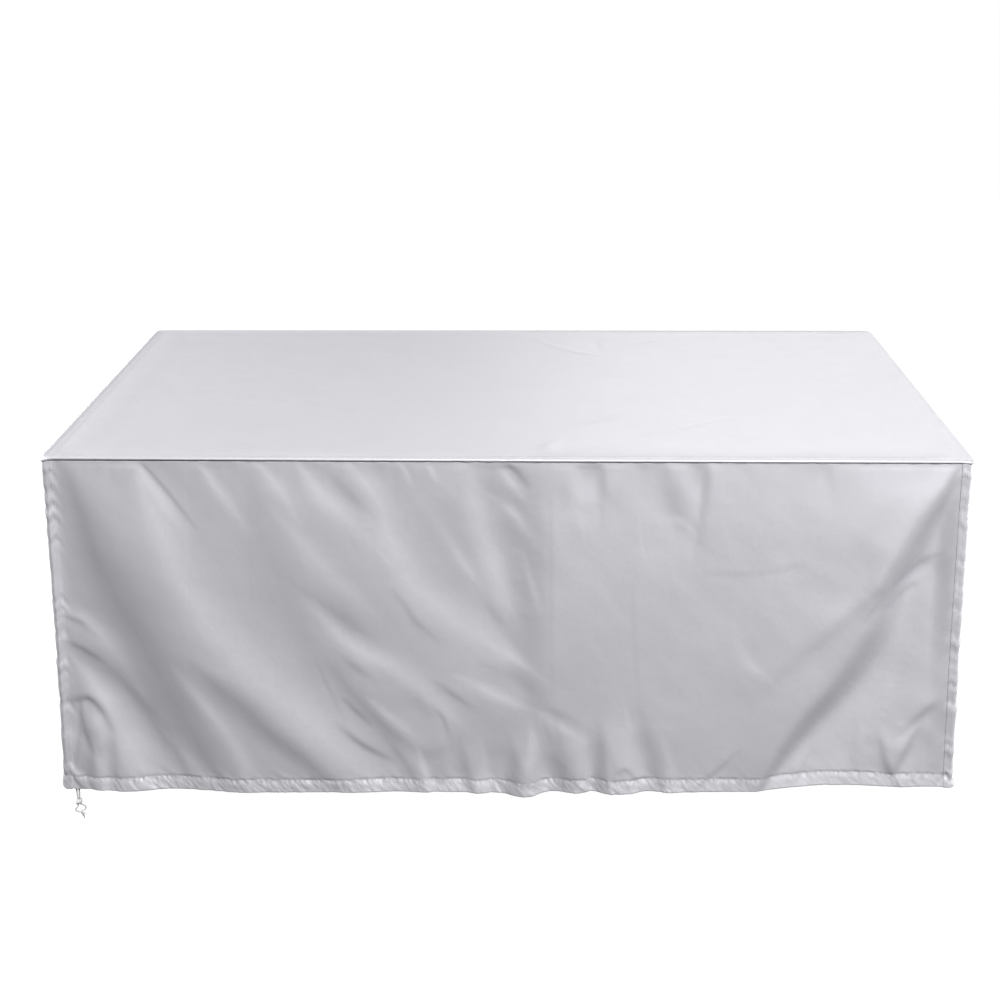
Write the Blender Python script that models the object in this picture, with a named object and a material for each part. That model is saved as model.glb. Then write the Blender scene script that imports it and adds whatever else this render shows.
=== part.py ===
# Fitted patio furniture cover, rectangular, 1.70 x 0.94 m on top with a
# 0.70 m skirt, sewn from five cloth panels, with a drawstring hem.
# Units are metres, +Z is up, +X runs along the cover and -Y is the front.
# The origin is the middle of the top panel's flat underside.
import math

import bpy
import bmesh
import numpy as np
from mathutils import Vector

# ---------------------------------------------------------------- sizes
LENGTH = 1.700            # top panel, left to right, seam to seam
WIDTH = 0.940             # top panel, front to back, seam to seam
SKIRT = 0.680             # hang of the skirt: 0.70 m as cut, less its folds
CLOTH = 0.0014            # sheet thickness as modelled
GAP = 0.0003              # room between two pieces that touch
END_FLARE = 0.030         # how far each short end swings out at the hem
FACE_FLARE = 0.010        # how far each long face swings out at the hem
CORNER_R = 0.012          # corner radius of the skirt
LAP = 0.011               # felled corner seam: end panel over long panel
HEM = 0.029               # depth of the drawstring channel
HEM_BULGE = 0.0016        # how far the channel swells on either side
SEAM_BAND = 0.020         # top seam: folded band along the top panel's edge
LIP_DROP = 0.0060         # how far the top panel's rolled edge hangs down
LIP_GAP = 0.0028          # clear space between skirt and rolled edge
LIP_R = CORNER_R + 0.0015
CORD_D = 0.0030           # drawstring

# Chart of the front skirt panel: a drawing frame, 1000 units each way, in
# which the panel is the quadrilateral below.  A fold is set out in it by the
# line that its flank follows.  DEPTH_RATIO is the frame's foreshortening.
CHART_TOP, CHART_BOTTOM = 461.5, 785.5
CHART_LEFT = (42.0, 63.0)       # left edge at the seam, at the hem
CHART_RIGHT = (972.0, 950.5)    # right edge at the seam, at the hem
DEPTH_RATIO = 0.9215

# Each fold is a list of stations down its length:
#   (across, down, width of the flank, rise across it in mm)
# across, down and width are in chart units.  The rise is what the cloth
# gains towards the viewer from the flank's left bank to its right bank.
FRONT_FOLDS = {
    "left_long_flank": [(62, 470, 16, 3), (77, 512, 52, 17), (88, 545, 70, 25),
                        (102, 577, 86, 29), (116, 605, 100, 31),
                        (134, 635, 108, 32), (150, 662, 104, 31),
                        (168, 694, 90, 27), (184, 722, 76, 22),
                        (200, 750, 62, 17), (218, 780, 44, 11)],
    "great_diagonal": [(131, 463, 14, -2), (148, 504, 42, -10),
                       (160, 530, 50, -13), (172, 560, 58, -15),
                       (188, 592, 66, -17), (208, 622, 76, -19),
                       (236, 654, 80, -20), (272, 688, 74, -19),
                       (318, 726, 62, -16), (372, 776, 44, -10)],
    "under_diagonal": [(200, 666, 12, 2), (220, 684, 26, 8), (244, 704, 32, 11),
                       (272, 729, 32, 12), (302, 752, 26, 11),
                       (336, 779, 16, 5)],
    "between_left": [(186, 680, 16, -3), (206, 704, 20, -6),
                     (228, 732, 24, -6), (252, 774, 18, -3)],
    "corner_patch": [(78, 672, 14, -4), (96, 694, 36, -13),
                     (112, 722, 50, -20), (130, 750, 52, -20),
                     (146, 778, 46, -16)],
    "left_lobe": [(68, 614, 14, -3), (90, 630, 31, -8), (110, 652, 34, -8),
                  (126, 676, 22, -3)],
    "left_lobe_under": [(66, 648, 19, 2), (94, 663, 37, 5), (120, 682, 37, 5),
                        (138, 700, 22, 2)],
    "beside_diagonal": [(250, 470, 30, 2), (262, 530, 56, 6),
                        (282, 590, 66, 8), (306, 640, 50, 4)],
    "seam_fold_a": [(299, 463, 12, -1), (318, 490, 28, -5),
                    (346, 516, 34, -5), (370, 540, 24, -2)],
    "seam_fold_b": [(350, 464, 16, -2), (376, 496, 36, -7),
                    (394, 540, 48, -9), (416, 584, 52, -9),
                    (454, 614, 50, -8), (500, 644, 34, -3)],
    "seam_fold_c": [(474, 464, 25, -4), (477, 500, 32, -11),
                    (488, 545, 32, -10), (507, 590, 23, -4)],
    "middle_rise": [(530, 468, 46, 11), (529, 530, 50, 16), (530, 600, 46, 16),
                    (532, 650, 38, 11), (536, 690, 26, 3)],
    "middle_fold": [(314, 606, 18, -2), (348, 640, 26, -6),
                    (396, 665, 34, -7), (444, 704, 24, -3)],
    "middle_fold_under": [(322, 650, 20, 1), (352, 690, 28, 6),
                          (388, 724, 28, 7), (418, 748, 18, 2)],
    "pleat_a": [(536, 738, 16, -2), (540, 760, 23, -5), (544, 782, 25, -6)],
    "pleat_b": [(605, 732, 12, 2), (604, 756, 17, 6), (602, 782, 21, 8)],
    "pleat_c": [(648, 722, 13, 2), (655, 748, 23, 5), (661, 782, 25, 7)],
    "right_tension_upper": [(969, 462, 9, -8), (952, 491, 24, -24),
                            (931, 522, 36, -38), (913, 551, 36, -40),
                            (894, 580, 28, -27), (882, 598, 16, -8)],
    "right_tension": [(916, 566, 14, -8), (898, 600, 28, -27),
                      (878, 643, 36, -38), (850, 684, 34, -36),
                      (816, 719, 28, -29), (787, 751, 21, -20),
                      (767, 778, 10, -8)],
    "right_parallel": [(896, 572, 20, -1), (850, 618, 26, -5),
                       (806, 653, 26, -4), (764, 690, 18, -1)],
    "right_shoulder": [(930, 600, 30, 3), (914, 650, 44, 8),
                       (886, 700, 48, 9), (850, 756, 36, 5)],
    "right_corner_pleat": [(870, 725, 16, -2), (852, 778, 22, -7)],
}
BACK_FOLDS = {
    "left_tension": [(52, 470, 8, 2), (84, 520, 26, 9), (120, 590, 38, 14),
                     (164, 664, 40, 14), (214, 730, 30, 9),
                     (240, 780, 16, 3)],
    "right_tension": [(960, 470, 8, -2), (930, 530, 26, -9),
                      (894, 610, 38, -13), (842, 690, 34, -11),
                      (802, 780, 18, -4)],
    "slack_a": [(300, 500, 20, -2), (338, 580, 40, -8), (384, 660, 46, -9),
                (420, 780, 30, -4)],
    "slack_b": [(420, 520, 20, 2), (452, 610, 40, 7), (500, 700, 40, 8),
                (528, 780, 26, 4)],
    "slack_c": [(700, 500, 20, 2), (672, 600, 40, 8), (640, 700, 40, 8),
                (628, 780, 26, 4)],
    "slack_d": [(610, 560, 20, -2), (580, 660, 36, -6), (566, 780, 24, -4)],
}
LEFT_FOLDS = {
    "front_tension": [(960, 472, 14, -2), (900, 560, 60, -10),
                      (820, 660, 70, -12), (740, 780, 40, -4)],
    "back_tension": [(58, 472, 14, 2), (130, 560, 60, 9),
                     (220, 680, 70, 11), (300, 780, 40, 4)],
    "slack": [(430, 520, 40, -2), (480, 640, 80, -8), (520, 780, 60, -6)],
}
RIGHT_FOLDS = {
    "front_tension": [(56, 472, 14, 2), (120, 570, 60, 10),
                      (210, 670, 70, 12), (290, 780, 40, 4)],
    "back_tension": [(958, 472, 14, -2), (890, 580, 60, -9),
                     (800, 700, 70, -10), (730, 780, 40, -4)],
    "slack": [(600, 500, 40, 2), (560, 620, 80, 7), (500, 780, 60, 6)],
}
# Hem line: (across the chart, extra drop in mm)
FRONT_HEM = [(64, 6), (73, 13), (86, 9), (110, 14), (174, 15), (258, 14),
             (340, 13), (432, 14), (506, 18), (527, 18), (554, 14),
             (589, 10), (716, 7), (768, 5), (796, -1), (829, -7), (866, -8),
             (896, -6), (926, -8), (952, -9)]
BACK_HEM = [(64, 0), (100, 0), (240, 7), (420, 12), (600, 9), (800, 11),
            (900, 4), (952, 4)]
LEFT_HEM = [(64, 4), (150, 4), (420, 12), (650, 9), (850, 6), (952, 6)]
RIGHT_HEM = [(64, -9), (150, -9), (380, 0), (700, 2), (850, 0), (952, 0)]

SILVER = (0.56, 0.555, 0.59)
CORD_WHITE = (0.86, 0.85, 0.84)


# ---------------------------------------------------------------- helpers
def clear_scene():
    for old in list(bpy.data.objects):
        bpy.data.objects.remove(old, do_unlink=True)


def cloth_material(name, colour, roughness):
    mat = bpy.data.materials.new(name)
    mat.use_nodes = True
    shader = mat.node_tree.nodes["Principled BSDF"]
    shader.inputs["Base Color"].default_value = (*colour, 1.0)
    shader.inputs["Roughness"].default_value = roughness
    shader.inputs["Metallic"].default_value = 0.0
    return mat


def ease(low, high, x):
    t = np.clip((np.asarray(x, float) - low) / (high - low), 0.0, 1.0)
    return t * t * (3.0 - 2.0 * t)


def smooth_line(stations, pieces):
    """Catmull-Rom curve through the stations, columns kept together."""
    pts = np.array(stations, float)
    pts = np.vstack([2 * pts[0] - pts[1], pts, 2 * pts[-1] - pts[-2]])
    out = []
    for i in range(1, len(pts) - 2):
        p0, p1, p2, p3 = pts[i - 1:i + 3]
        for k in range(pieces):
            t = k / pieces
            out.append(0.5 * ((2 * p1) + (p2 - p0) * t
                              + (2 * p0 - 5 * p1 + 4 * p2 - p3) * t * t
                              + (3 * p1 - p0 - 3 * p2 + p3) * t ** 3))
    out.append(pts[-2])
    return np.array(out)


def flank_height(across, down, stations):
    """Height in mm that one fold's flank gives each point of the chart.

    It climbs over the flank's width and eases back over four widths.  The
    pieces of the fold's line near a point share it by how near they are, so
    the flank turns smoothly with its line."""
    line = smooth_line(stations, 5)
    a, b = line[:-1], line[1:]
    px, py = across.reshape(-1, 1), down.reshape(-1, 1)
    run = b[:, :2] - a[:, :2]
    length = np.sqrt((run ** 2).sum(1))
    gone = ((px - a[:, 0]) * run[:, 0] + (py - a[:, 1]) * run[:, 1]) / length ** 2
    t = np.clip(gone, 0.0, 1.0)
    dist = np.hypot(px - a[:, 0] - t * run[:, 0], py - a[:, 1] - t * run[:, 1])
    offs = (run[:, 1] * (px - a[:, 0]) - run[:, 0] * (py - a[:, 1])) / length
    best = dist.argmin(1)
    rows, last = np.arange(len(best)), len(length) - 1
    beyond = np.where(best == 0, np.maximum(-gone[:, 0], 0.0) * length[0], 0.0)
    beyond = np.where(best == last,
                      np.maximum(gone[:, last] - 1.0, 0.0) * length[last],
                      beyond)
    reached = np.sqrt(np.maximum(dist ** 2 - beyond[:, None] ** 2, 0.0))
    reached = reached * np.sign(offs[rows, best])[:, None]
    least = dist[rows, best][:, None]
    weight = np.exp(-(dist - least) / (0.6 + 0.12 * least))
    weight /= weight.sum(1)[:, None]
    off = (weight * reached).sum(1)           # signed, across the flank
    width = (weight * (a[:, 2] + t * (b[:, 2] - a[:, 2]))).sum(1)
    rise = (weight * (a[:, 3] + t * (b[:, 3] - a[:, 3]))).sum(1)
    half = np.maximum(width, 2.0) / 2.0
    height = 0.5 * rise * np.tanh(off / half * 1.2) * np.exp(
        -np.abs(off) / (4.0 * half))
    height *= np.exp(-(beyond / (2.0 * half)) ** 2)
    return height.reshape(across.shape)


def chart_place(side, drop):
    """Chart position of a point given by -1..1 across and 0..1 down."""
    t = drop / (DEPTH_RATIO + (1.0 - DEPTH_RATIO) * drop)
    left = CHART_LEFT[0] + (CHART_LEFT[1] - CHART_LEFT[0]) * t
    right = CHART_RIGHT[0] + (CHART_RIGHT[1] - CHART_RIGHT[0]) * t
    down = CHART_TOP + (CHART_BOTTOM - CHART_TOP) * t
    return (left + right) / 2 + side * (right - left) / 2, down


def fold_height(side, drop, folds, edge, gain=1.0, seam=0.05):
    """Sum of the folds in metres, easing out at the seam and both edges.

    Folds stand out freely, but they fall in by only a few millimetres near
    the top, and by a little more lower down."""
    across, down = chart_place(side, drop)
    total = np.zeros_like(across)
    for stations in folds.values():
        total = total + gain * flank_height(across, down, stations)
    total *= ease(0.0, seam, drop)
    total *= ease(0.0, 1.0, (1.0 - np.abs(side)) / edge - 1.0)
    inward = 5.2 + 8.0 * drop
    total = np.where(total < 0.0, inward * np.tanh(total / inward), total)
    return np.minimum(total, 26.0) / 1000.0


def hem_drop(side, drop, table):
    """Extra length of the skirt in metres at this place across it."""
    across = 508.0 + side * 444.0
    cols = np.array(table, float)
    return np.interp(across, cols[:, 0], cols[:, 1]) / 1000.0


def hem_swell(depth_left):
    """Swelling of the drawstring channel, by height above the hem edge."""
    up = ease(0.0, 0.004, depth_left)
    down = 1.0 - ease(HEM - 0.004, HEM, depth_left)
    return HEM_BULGE * np.minimum(0.35 + 0.65 * up, 1.0) * down


def closed_sheet(name, outer, inner, material):
    """Closed solid between two grids of points of the same shape."""
    rows, cols = outer.shape[:2]
    bm = bmesh.new()
    vo = [[bm.verts.new(outer[r, c]) for c in range(cols)] for r in range(rows)]
    vi = [[bm.verts.new(inner[r, c]) for c in range(cols)] for r in range(rows)]
    for r in range(rows - 1):
        for c in range(cols - 1):
            bm.faces.new((vo[r][c], vo[r + 1][c], vo[r + 1][c + 1], vo[r][c + 1]))
            bm.faces.new((vi[r][c], vi[r][c + 1], vi[r + 1][c + 1], vi[r + 1][c]))
    for r in range(rows - 1):
        for c in (0, cols - 1):
            bm.faces.new((vo[r][c], vi[r][c], vi[r + 1][c], vo[r + 1][c]))
    for c in range(cols - 1):
        for r in (0, rows - 1):
            bm.faces.new((vo[r][c], vo[r][c + 1], vi[r][c + 1], vi[r][c]))
    bmesh.ops.recalc_face_normals(bm, faces=bm.faces)
    return finish_mesh(name, bm, material, sharp=50.0)


def finish_mesh(name, bm, material, sharp):
    mesh = bpy.data.meshes.new(name)
    if bm.calc_volume(signed=True) < 0:
        bmesh.ops.reverse_faces(bm, faces=bm.faces)
    bm.to_mesh(mesh)
    bm.free()
    mesh.shade_smooth()
    mesh.set_sharp_from_angle(angle=math.radians(sharp))
    mesh.materials.append(material)
    obj = bpy.data.objects.new(name, mesh)
    bpy.context.scene.collection.objects.link(obj)
    return obj


def drops(rows):
    """Rows down a panel, 0..1, closer together at the seam and in the hem."""
    hem_top = 1.0 - HEM / SKIRT
    upper = np.linspace(0.0, hem_top, rows)
    upper = np.insert(upper, 1, upper[1] * 0.4)
    lower = 1.0 - np.array([HEM - 0.004, HEM * 0.5, 0.004, 0.0]) / SKIRT
    return np.concatenate([upper, lower])


# ---------------------------------------------------------------- skirt
def long_face_out(drop):
    """Outward place of a long panel's flat face, before folds and hem."""
    return WIDTH / 2 + 0.0002 + FACE_FLARE * drop


def short_face_out(drop):
    return LENGTH / 2 + 0.0002 + END_FLARE * drop


def long_panel(name, facing, folds, hem_table, columns, rows, material,
               gain=1.0, seam=0.05):
    """Front or back panel.  facing is -1 for the front and +1 for the back."""
    edge = (LAP + 0.006) / (LENGTH / 2)
    side = np.linspace(-1.0 + edge, 1.0 - edge, columns - 1)
    side = np.concatenate([[-1.0], side, [1.0]])[None, :]
    drop, side = np.broadcast_arrays(drops(rows)[:, None], side)
    half = short_face_out(drop) - CORNER_R - 0.0006
    along = side * half
    depth = SKIRT + hem_drop(side, drop, hem_table)
    z = -GAP - drop * depth
    swell = hem_swell((1.0 - drop) * depth)
    fold = fold_height(side, drop, folds, edge, gain, seam)
    face = long_face_out(drop) + fold
    x = along * (-facing)
    outer = np.stack([x, facing * (face + swell), z], -1)
    inner = np.stack([x, facing * (face - CLOTH - swell), z], -1)
    return closed_sheet(name, outer, inner, material)


def end_panel(name, facing, folds, hem_table, columns, rows, material):
    """Left or right panel, with its felled laps round both corners.

    facing is -1 for the left and +1 for the right.  The section at each
    height runs: front lap, corner arc, straight, corner arc, back lap.
    A lap's lower edge follows the hem of the long panel that it lies on."""
    drop = drops(rows)
    arc_steps = 4
    if facing > 0:
        lap_hems = {-1: FRONT_HEM, 1: BACK_HEM}
    else:
        lap_hems = {-1: BACK_HEM, 1: FRONT_HEM}
    middle = np.linspace(-1.0, 1.0, columns + 1)
    outer_rows, inner_rows = [], []
    for d in drop:
        long_out, short_out = long_face_out(d), short_face_out(d)
        seat = long_out + 0.0004
        half = seat + CLOTH - CORNER_R           # straight part, half length
        outer, inner = [], []
        depth_end = {s: SKIRT + float(hem_drop(np.array(s * 1.0), d, hem_table))
                     for s in (-1, 1)}

        def put(lst, along, out, z):
            lst.append((facing * out, facing * along, z))

        # lap and arc at the near end (along = -), straight, arc and lap
        for end in (-1, 1):
            depth = depth_end[end]
            z = -GAP - d * depth
            swell = float(hem_swell((1.0 - d) * depth))
            top_out = seat + swell + CLOTH
            lap_pts_o, lap_pts_i, lap_z = [], [], []
            for share in (1.0, 0.5):
                out = short_out - CORNER_R - LAP * share
                side = out / (short_out - CORNER_R - 0.0006)
                if lap_hems[end] is FRONT_HEM:
                    side *= facing
                else:
                    side *= -facing
                lap_depth = SKIRT + float(hem_drop(side, d, lap_hems[end]))
                lap_swell = float(hem_swell((1.0 - d) * lap_depth))
                lap_pts_o.append((end * (seat + lap_swell + CLOTH), out))
                lap_pts_i.append((end * (seat + lap_swell), out))
                lap_z.append(-GAP - d * lap_depth)
            arc_o, arc_i = [], []
            cx, cy = short_out + swell - CORNER_R, top_out - CORNER_R
            for k in range(arc_steps + 1):
                ang = math.pi / 2 * (1 - k / arc_steps)
                arc_o.append((end * (cy + CORNER_R * math.sin(ang)),
                              cx + CORNER_R * math.cos(ang)))
                ri = CORNER_R - CLOTH
                arc_i.append((end * (cy + ri * math.sin(ang)),
                              cx + ri * math.cos(ang)))
            seq_o, seq_i = lap_pts_o + arc_o, lap_pts_i + arc_i
            seq_z = lap_z + [z] * len(arc_o)
            if end == -1:
                for (al, out), zk in zip(seq_o, seq_z):
                    put(outer, al, out, zk)
                for (al, out), zk in zip(seq_i, seq_z):
                    put(inner, al, out, zk)
                m = middle[1:-1]
                dd = np.full(m.shape, d)
                fold = fold_height(m, dd, folds, 0.05)
                dep = SKIRT + hem_drop(m, dd, hem_table)
                zz = -GAP - d * dep
                sw = hem_swell((1.0 - d) * dep)
                fade = ease(1.0, 0.88, np.abs(m))
                al = m * half
                for k in range(len(m)):
                    put(outer, al[k], short_out + fold[k] + sw[k], zz[k])
                    put(inner, al[k],
                        short_out + fold[k] - CLOTH - sw[k] * fade[k], zz[k])
            else:
                for (al, out), zk in reversed(list(zip(seq_o, seq_z))):
                    put(outer, al, out, zk)
                for (al, out), zk in reversed(list(zip(seq_i, seq_z))):
                    put(inner, al, out, zk)
        outer_rows.append(outer)
        inner_rows.append(inner)
    return closed_sheet(name, np.array(outer_rows), np.array(inner_rows),
                        material)


# ---------------------------------------------------------------- top panel
def rounded_ring(grow, z, radius, long_steps, short_steps, corner_steps):
    hx, hy = LENGTH / 2 + grow, WIDTH / 2 + grow
    pts = []
    corners = [(hx - radius, hy - radius, 0), (-hx + radius, hy - radius, 90),
               (-hx + radius, -hy + radius, 180), (hx - radius, -hy + radius, 270)]
    for i, (cx, cy, start) in enumerate(corners):
        for k in range(corner_steps + 1):
            ang = math.radians(start + 90 * k / corner_steps)
            pts.append((cx + radius * math.cos(ang),
                        cy + radius * math.sin(ang), z))
        nx, ny, nstart = corners[(i + 1) % 4]
        ax, ay = pts[-1][:2]
        ang = math.radians(nstart)
        bx, by = nx + radius * math.cos(ang), ny + radius * math.sin(ang)
        steps = long_steps if i % 2 == 0 else short_steps
        for k in range(1, steps):
            pts.append((ax + (bx - ax) * k / steps, ay + (by - ay) * k / steps, z))
    return pts


def top_panel(material):
    """Flat sheet whose edge is a folded band, rolled down over the skirt."""
    inner_r = LIP_R + LIP_GAP
    # how far out from the seam line, height, corner radius
    section = [(-0.030, 0.0014, 0.004), (-SEAM_BAND - 0.002, 0.0013, 0.004),
               (-SEAM_BAND, 0.0028, 0.004), (-0.006, 0.0034, 0.008),
               (LIP_GAP - 0.001, 0.0030, inner_r - 0.001),
               (LIP_GAP + 0.0009, 0.0016, inner_r + 0.0009),
               (LIP_GAP + CLOTH, -0.0010, inner_r + CLOTH),
               (LIP_GAP + CLOTH, -LIP_DROP + 0.0006, inner_r + CLOTH),
               (LIP_GAP + CLOTH * 0.5, -LIP_DROP, inner_r + CLOTH * 0.5),
               (LIP_GAP, -LIP_DROP + 0.0006, inner_r),
               (LIP_GAP, 0.0004, inner_r),
               (-0.009, 0.0004, 0.006),
               (-0.011, 0.0, 0.005)]
    bm = bmesh.new()
    rings = []
    for grow, z, radius in section:
        rings.append([bm.verts.new(p)
                      for p in rounded_ring(grow, z, radius, 10, 6, 5)])
    n = len(rings[0])
    for a, b in zip(rings[:-1], rings[1:]):
        for k in range(n):
            bm.faces.new((a[k], a[(k + 1) % n], b[(k + 1) % n], b[k]))
    bm.faces.new(rings[0])
    bm.faces.new(list(reversed(rings[-1])))
    bmesh.ops.recalc_face_normals(bm, faces=bm.faces)
    return finish_mesh("top_panel", bm, material, sharp=50.0)


# ---------------------------------------------------------------- drawstring
TIE_X = -0.8533           # where the drawstring leaves the hem
TIE_Y = -(WIDTH / 2 + 0.0002 + FACE_FLARE) + 0.0007
TIE_TOP = -(SKIRT + 0.0128)


def cord(name, route, diameter, material):
    """Tube along a smooth curve through the route's points."""
    line = smooth_line(route, 4)
    data = bpy.data.curves.new(name, "CURVE")
    data.dimensions = "3D"
    data.bevel_depth = diameter / 2
    data.bevel_resolution = 2
    data.use_fill_caps = True
    spline = data.splines.new("POLY")
    spline.points.add(len(line) - 1)
    for point, co in zip(spline.points, line):
        point.co = (*co, 1.0)
    data.materials.append(material)
    obj = bpy.data.objects.new(name, data)
    bpy.context.scene.collection.objects.link(obj)
    return obj


def tie_point(dx, dy, dz):
    """Point given in millimetres from where the drawstring leaves the hem."""
    return (TIE_X + dx / 1000.0, TIE_Y + dy / 1000.0, TIE_TOP + dz / 1000.0)


def drawstring(material):
    # two strands drop from the hem into the knot
    cord("drawstring_strand_left",
         [tie_point(-2.6, 0, -0.4), tie_point(-2.6, 0, -9),
          tie_point(-2.2, 0, -17), tie_point(-1.9, 0, -23.2)],
         CORD_D, material)
    cord("drawstring_strand_right",
         [tie_point(2.6, 0, -0.4), tie_point(2.4, 0, -9),
          tie_point(1.9, 0, -17), tie_point(1.9, 0, -23.2)],
         CORD_D, material)
    # the knot: a lumpy turned body, flattened at the top and bottom
    bm = bmesh.new()
    profile = [(0.0, 5.6), (3.6, 5.6), (6.4, 3.4), (7.0, 0.6), (6.2, -2.6),
               (4.2, -5.4), (0.0, -5.6)]
    sides = 12
    rings = []
    for radius, height in profile[1:-1]:
        ring = []
        for k in range(sides):
            ang = 2 * math.pi * k / sides
            lump = 1.0 + 0.10 * math.cos(3 * ang + 0.5 * height)
            ring.append(bm.verts.new(tie_point(
                radius * lump * math.cos(ang),
                radius * 0.86 * lump * math.sin(ang), -29.6 + height)))
        rings.append(ring)
    for a, b in zip(rings[:-1], rings[1:]):
        for k in range(sides):
            bm.faces.new((a[k], b[k], b[(k + 1) % sides], a[(k + 1) % sides]))
    bm.faces.new(rings[0])
    bm.faces.new(list(reversed(rings[-1])))
    bmesh.ops.recalc_face_normals(bm, faces=bm.faces)
    finish_mesh("drawstring_knot", bm, material, sharp=60.0)
    # two free ends curl below the knot, one in front of the other
    cord("drawstring_end_left",
         [tie_point(-1.8, -3.2, -37.0), tie_point(-4.0, -4.4, -40),
          tie_point(-8.0, -5.2, -45), tie_point(-3.5, -5.4, -49),
          tie_point(4.0, -5.4, -51), tie_point(10.0, -5.0, -54.5)],
         CORD_D, material)
    cord("drawstring_end_right",
         [tie_point(2.0, 2.6, -37.0), tie_point(6.5, 3.4, -39.6),
          tie_point(11.5, 3.6, -44), tie_point(8.5, 3.4, -50),
          tie_point(1.5, 3.2, -54), tie_point(1.0, 3.0, -60),
          tie_point(6.0, 3.0, -64), tie_point(5.0, 3.0, -69)],
         CORD_D, material)


def main():
    clear_scene()
    silver_top = cloth_material("silver_cloth_top", SILVER, 0.42)
    silver_front = cloth_material("silver_cloth_front", SILVER, 0.42)
    silver_back = cloth_material("silver_cloth_back", SILVER, 0.42)
    silver_left = cloth_material("silver_cloth_left", SILVER, 0.42)
    silver_right = cloth_material("silver_cloth_right", SILVER, 0.42)
    white = cloth_material("drawstring_white", CORD_WHITE, 0.8)
    top_panel(silver_top)
    long_panel("front_panel", -1, FRONT_FOLDS, FRONT_HEM, 52, 18, silver_front,
               gain=1.25, seam=0.12)
    long_panel("back_panel", 1, BACK_FOLDS, BACK_HEM, 30, 9, silver_back)
    end_panel("left_panel", -1, LEFT_FOLDS, LEFT_HEM, 14, 8, silver_left)
    end_panel("right_panel", 1, RIGHT_FOLDS, RIGHT_HEM, 14, 8, silver_right)
    drawstring(white)


main()
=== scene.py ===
import math

import bmesh
import bpy
import numpy as np
from mathutils import Matrix, Vector


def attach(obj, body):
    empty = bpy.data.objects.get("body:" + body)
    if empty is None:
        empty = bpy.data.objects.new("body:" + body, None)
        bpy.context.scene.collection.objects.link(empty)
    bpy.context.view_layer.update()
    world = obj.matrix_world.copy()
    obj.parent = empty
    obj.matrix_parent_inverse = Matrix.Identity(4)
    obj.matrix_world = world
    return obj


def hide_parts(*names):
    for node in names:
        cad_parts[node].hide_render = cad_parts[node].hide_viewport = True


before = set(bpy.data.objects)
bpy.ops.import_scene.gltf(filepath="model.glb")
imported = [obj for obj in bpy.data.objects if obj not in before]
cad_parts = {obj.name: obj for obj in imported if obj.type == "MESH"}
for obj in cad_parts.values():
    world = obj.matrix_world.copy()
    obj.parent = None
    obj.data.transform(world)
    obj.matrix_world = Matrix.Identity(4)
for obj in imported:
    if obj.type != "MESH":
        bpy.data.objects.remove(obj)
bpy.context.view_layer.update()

# ------------------------------------------------------------------ sizes
LENGTH, WIDTH, SKIRT = 1.700, 0.940, 0.680
CLOTH = 0.0009            # sheet gauge used between overlapping layers
END_FLARE, FACE_FLARE = 0.0255, 0.010
END_EASE = 0.0045          # the ends hang this far off the nominal length
CORNER_R, LAP = 0.0075, 0.0115
HEM, HEM_BULGE = 0.029, 0.0036
SEAM_BAND, LIP_DROP, LIP_GAP = 0.020, 0.0060, 0.0028
CORD_D = 0.0030

# Drawing chart of the front skirt panel: the panel is this quadrilateral in
# a frame of 1000 x 1000 units, and folds are laid out in those units.
CHART_TOP, CHART_BOTTOM = 461.5, 785.5
CHART_LEFT, CHART_RIGHT = (42.0, 63.0), (972.0, 950.5)
DEPTH_RATIO = 0.9215


# ------------------------------------------------------------------ camera
def make_camera():
    """Eye level a little above the top, 55 mm lens, looking slightly down."""
    yaw, pitch, roll = math.radians(-1.39), math.radians(20.72), math.radians(-0.26)
    forward = Vector((math.sin(yaw) * math.cos(pitch),
                      math.cos(yaw) * math.cos(pitch), -math.sin(pitch)))
    right = Vector((math.cos(yaw), -math.sin(yaw), 0.0))
    up = right.cross(forward)
    r2 = right * math.cos(roll) + up * math.sin(roll)
    u2 = -right * math.sin(roll) + up * math.cos(roll)
    rot = Matrix((r2, u2, -forward)).transposed().to_4x4()
    data = bpy.data.cameras.new("camera")
    data.sensor_width = 36.0
    data.sensor_fit = "HORIZONTAL"
    data.lens = 1538.0 * 36.0 / 1000.0
    data.clip_end = 60.0
    cam = bpy.data.objects.new("camera", data)
    bpy.context.scene.collection.objects.link(cam)
    cam.matrix_world = Matrix.Translation((0.057, -3.129, 0.929)) @ rot
    bpy.context.scene.camera = cam
    return cam


make_camera()


# ------------------------------------------------------------------ helpers
def ease(low, high, x):
    t = np.clip((np.asarray(x, float) - low) / (high - low), 0.0, 1.0)
    return t * t * (3.0 - 2.0 * t)


def smooth_line(stations, pieces):
    pts = np.array(stations, float)
    pts = np.vstack([2 * pts[0] - pts[1], pts, 2 * pts[-1] - pts[-2]])
    out = []
    for i in range(1, len(pts) - 2):
        p0, p1, p2, p3 = pts[i - 1:i + 3]
        for k in range(pieces):
            t = k / pieces
            out.append(0.5 * ((2 * p1) + (p2 - p0) * t
                              + (2 * p0 - 5 * p1 + 4 * p2 - p3) * t * t
                              + (3 * p1 - p0 - 3 * p2 + p3) * t ** 3))
    out.append(pts[-2])
    return np.array(out)


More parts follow.
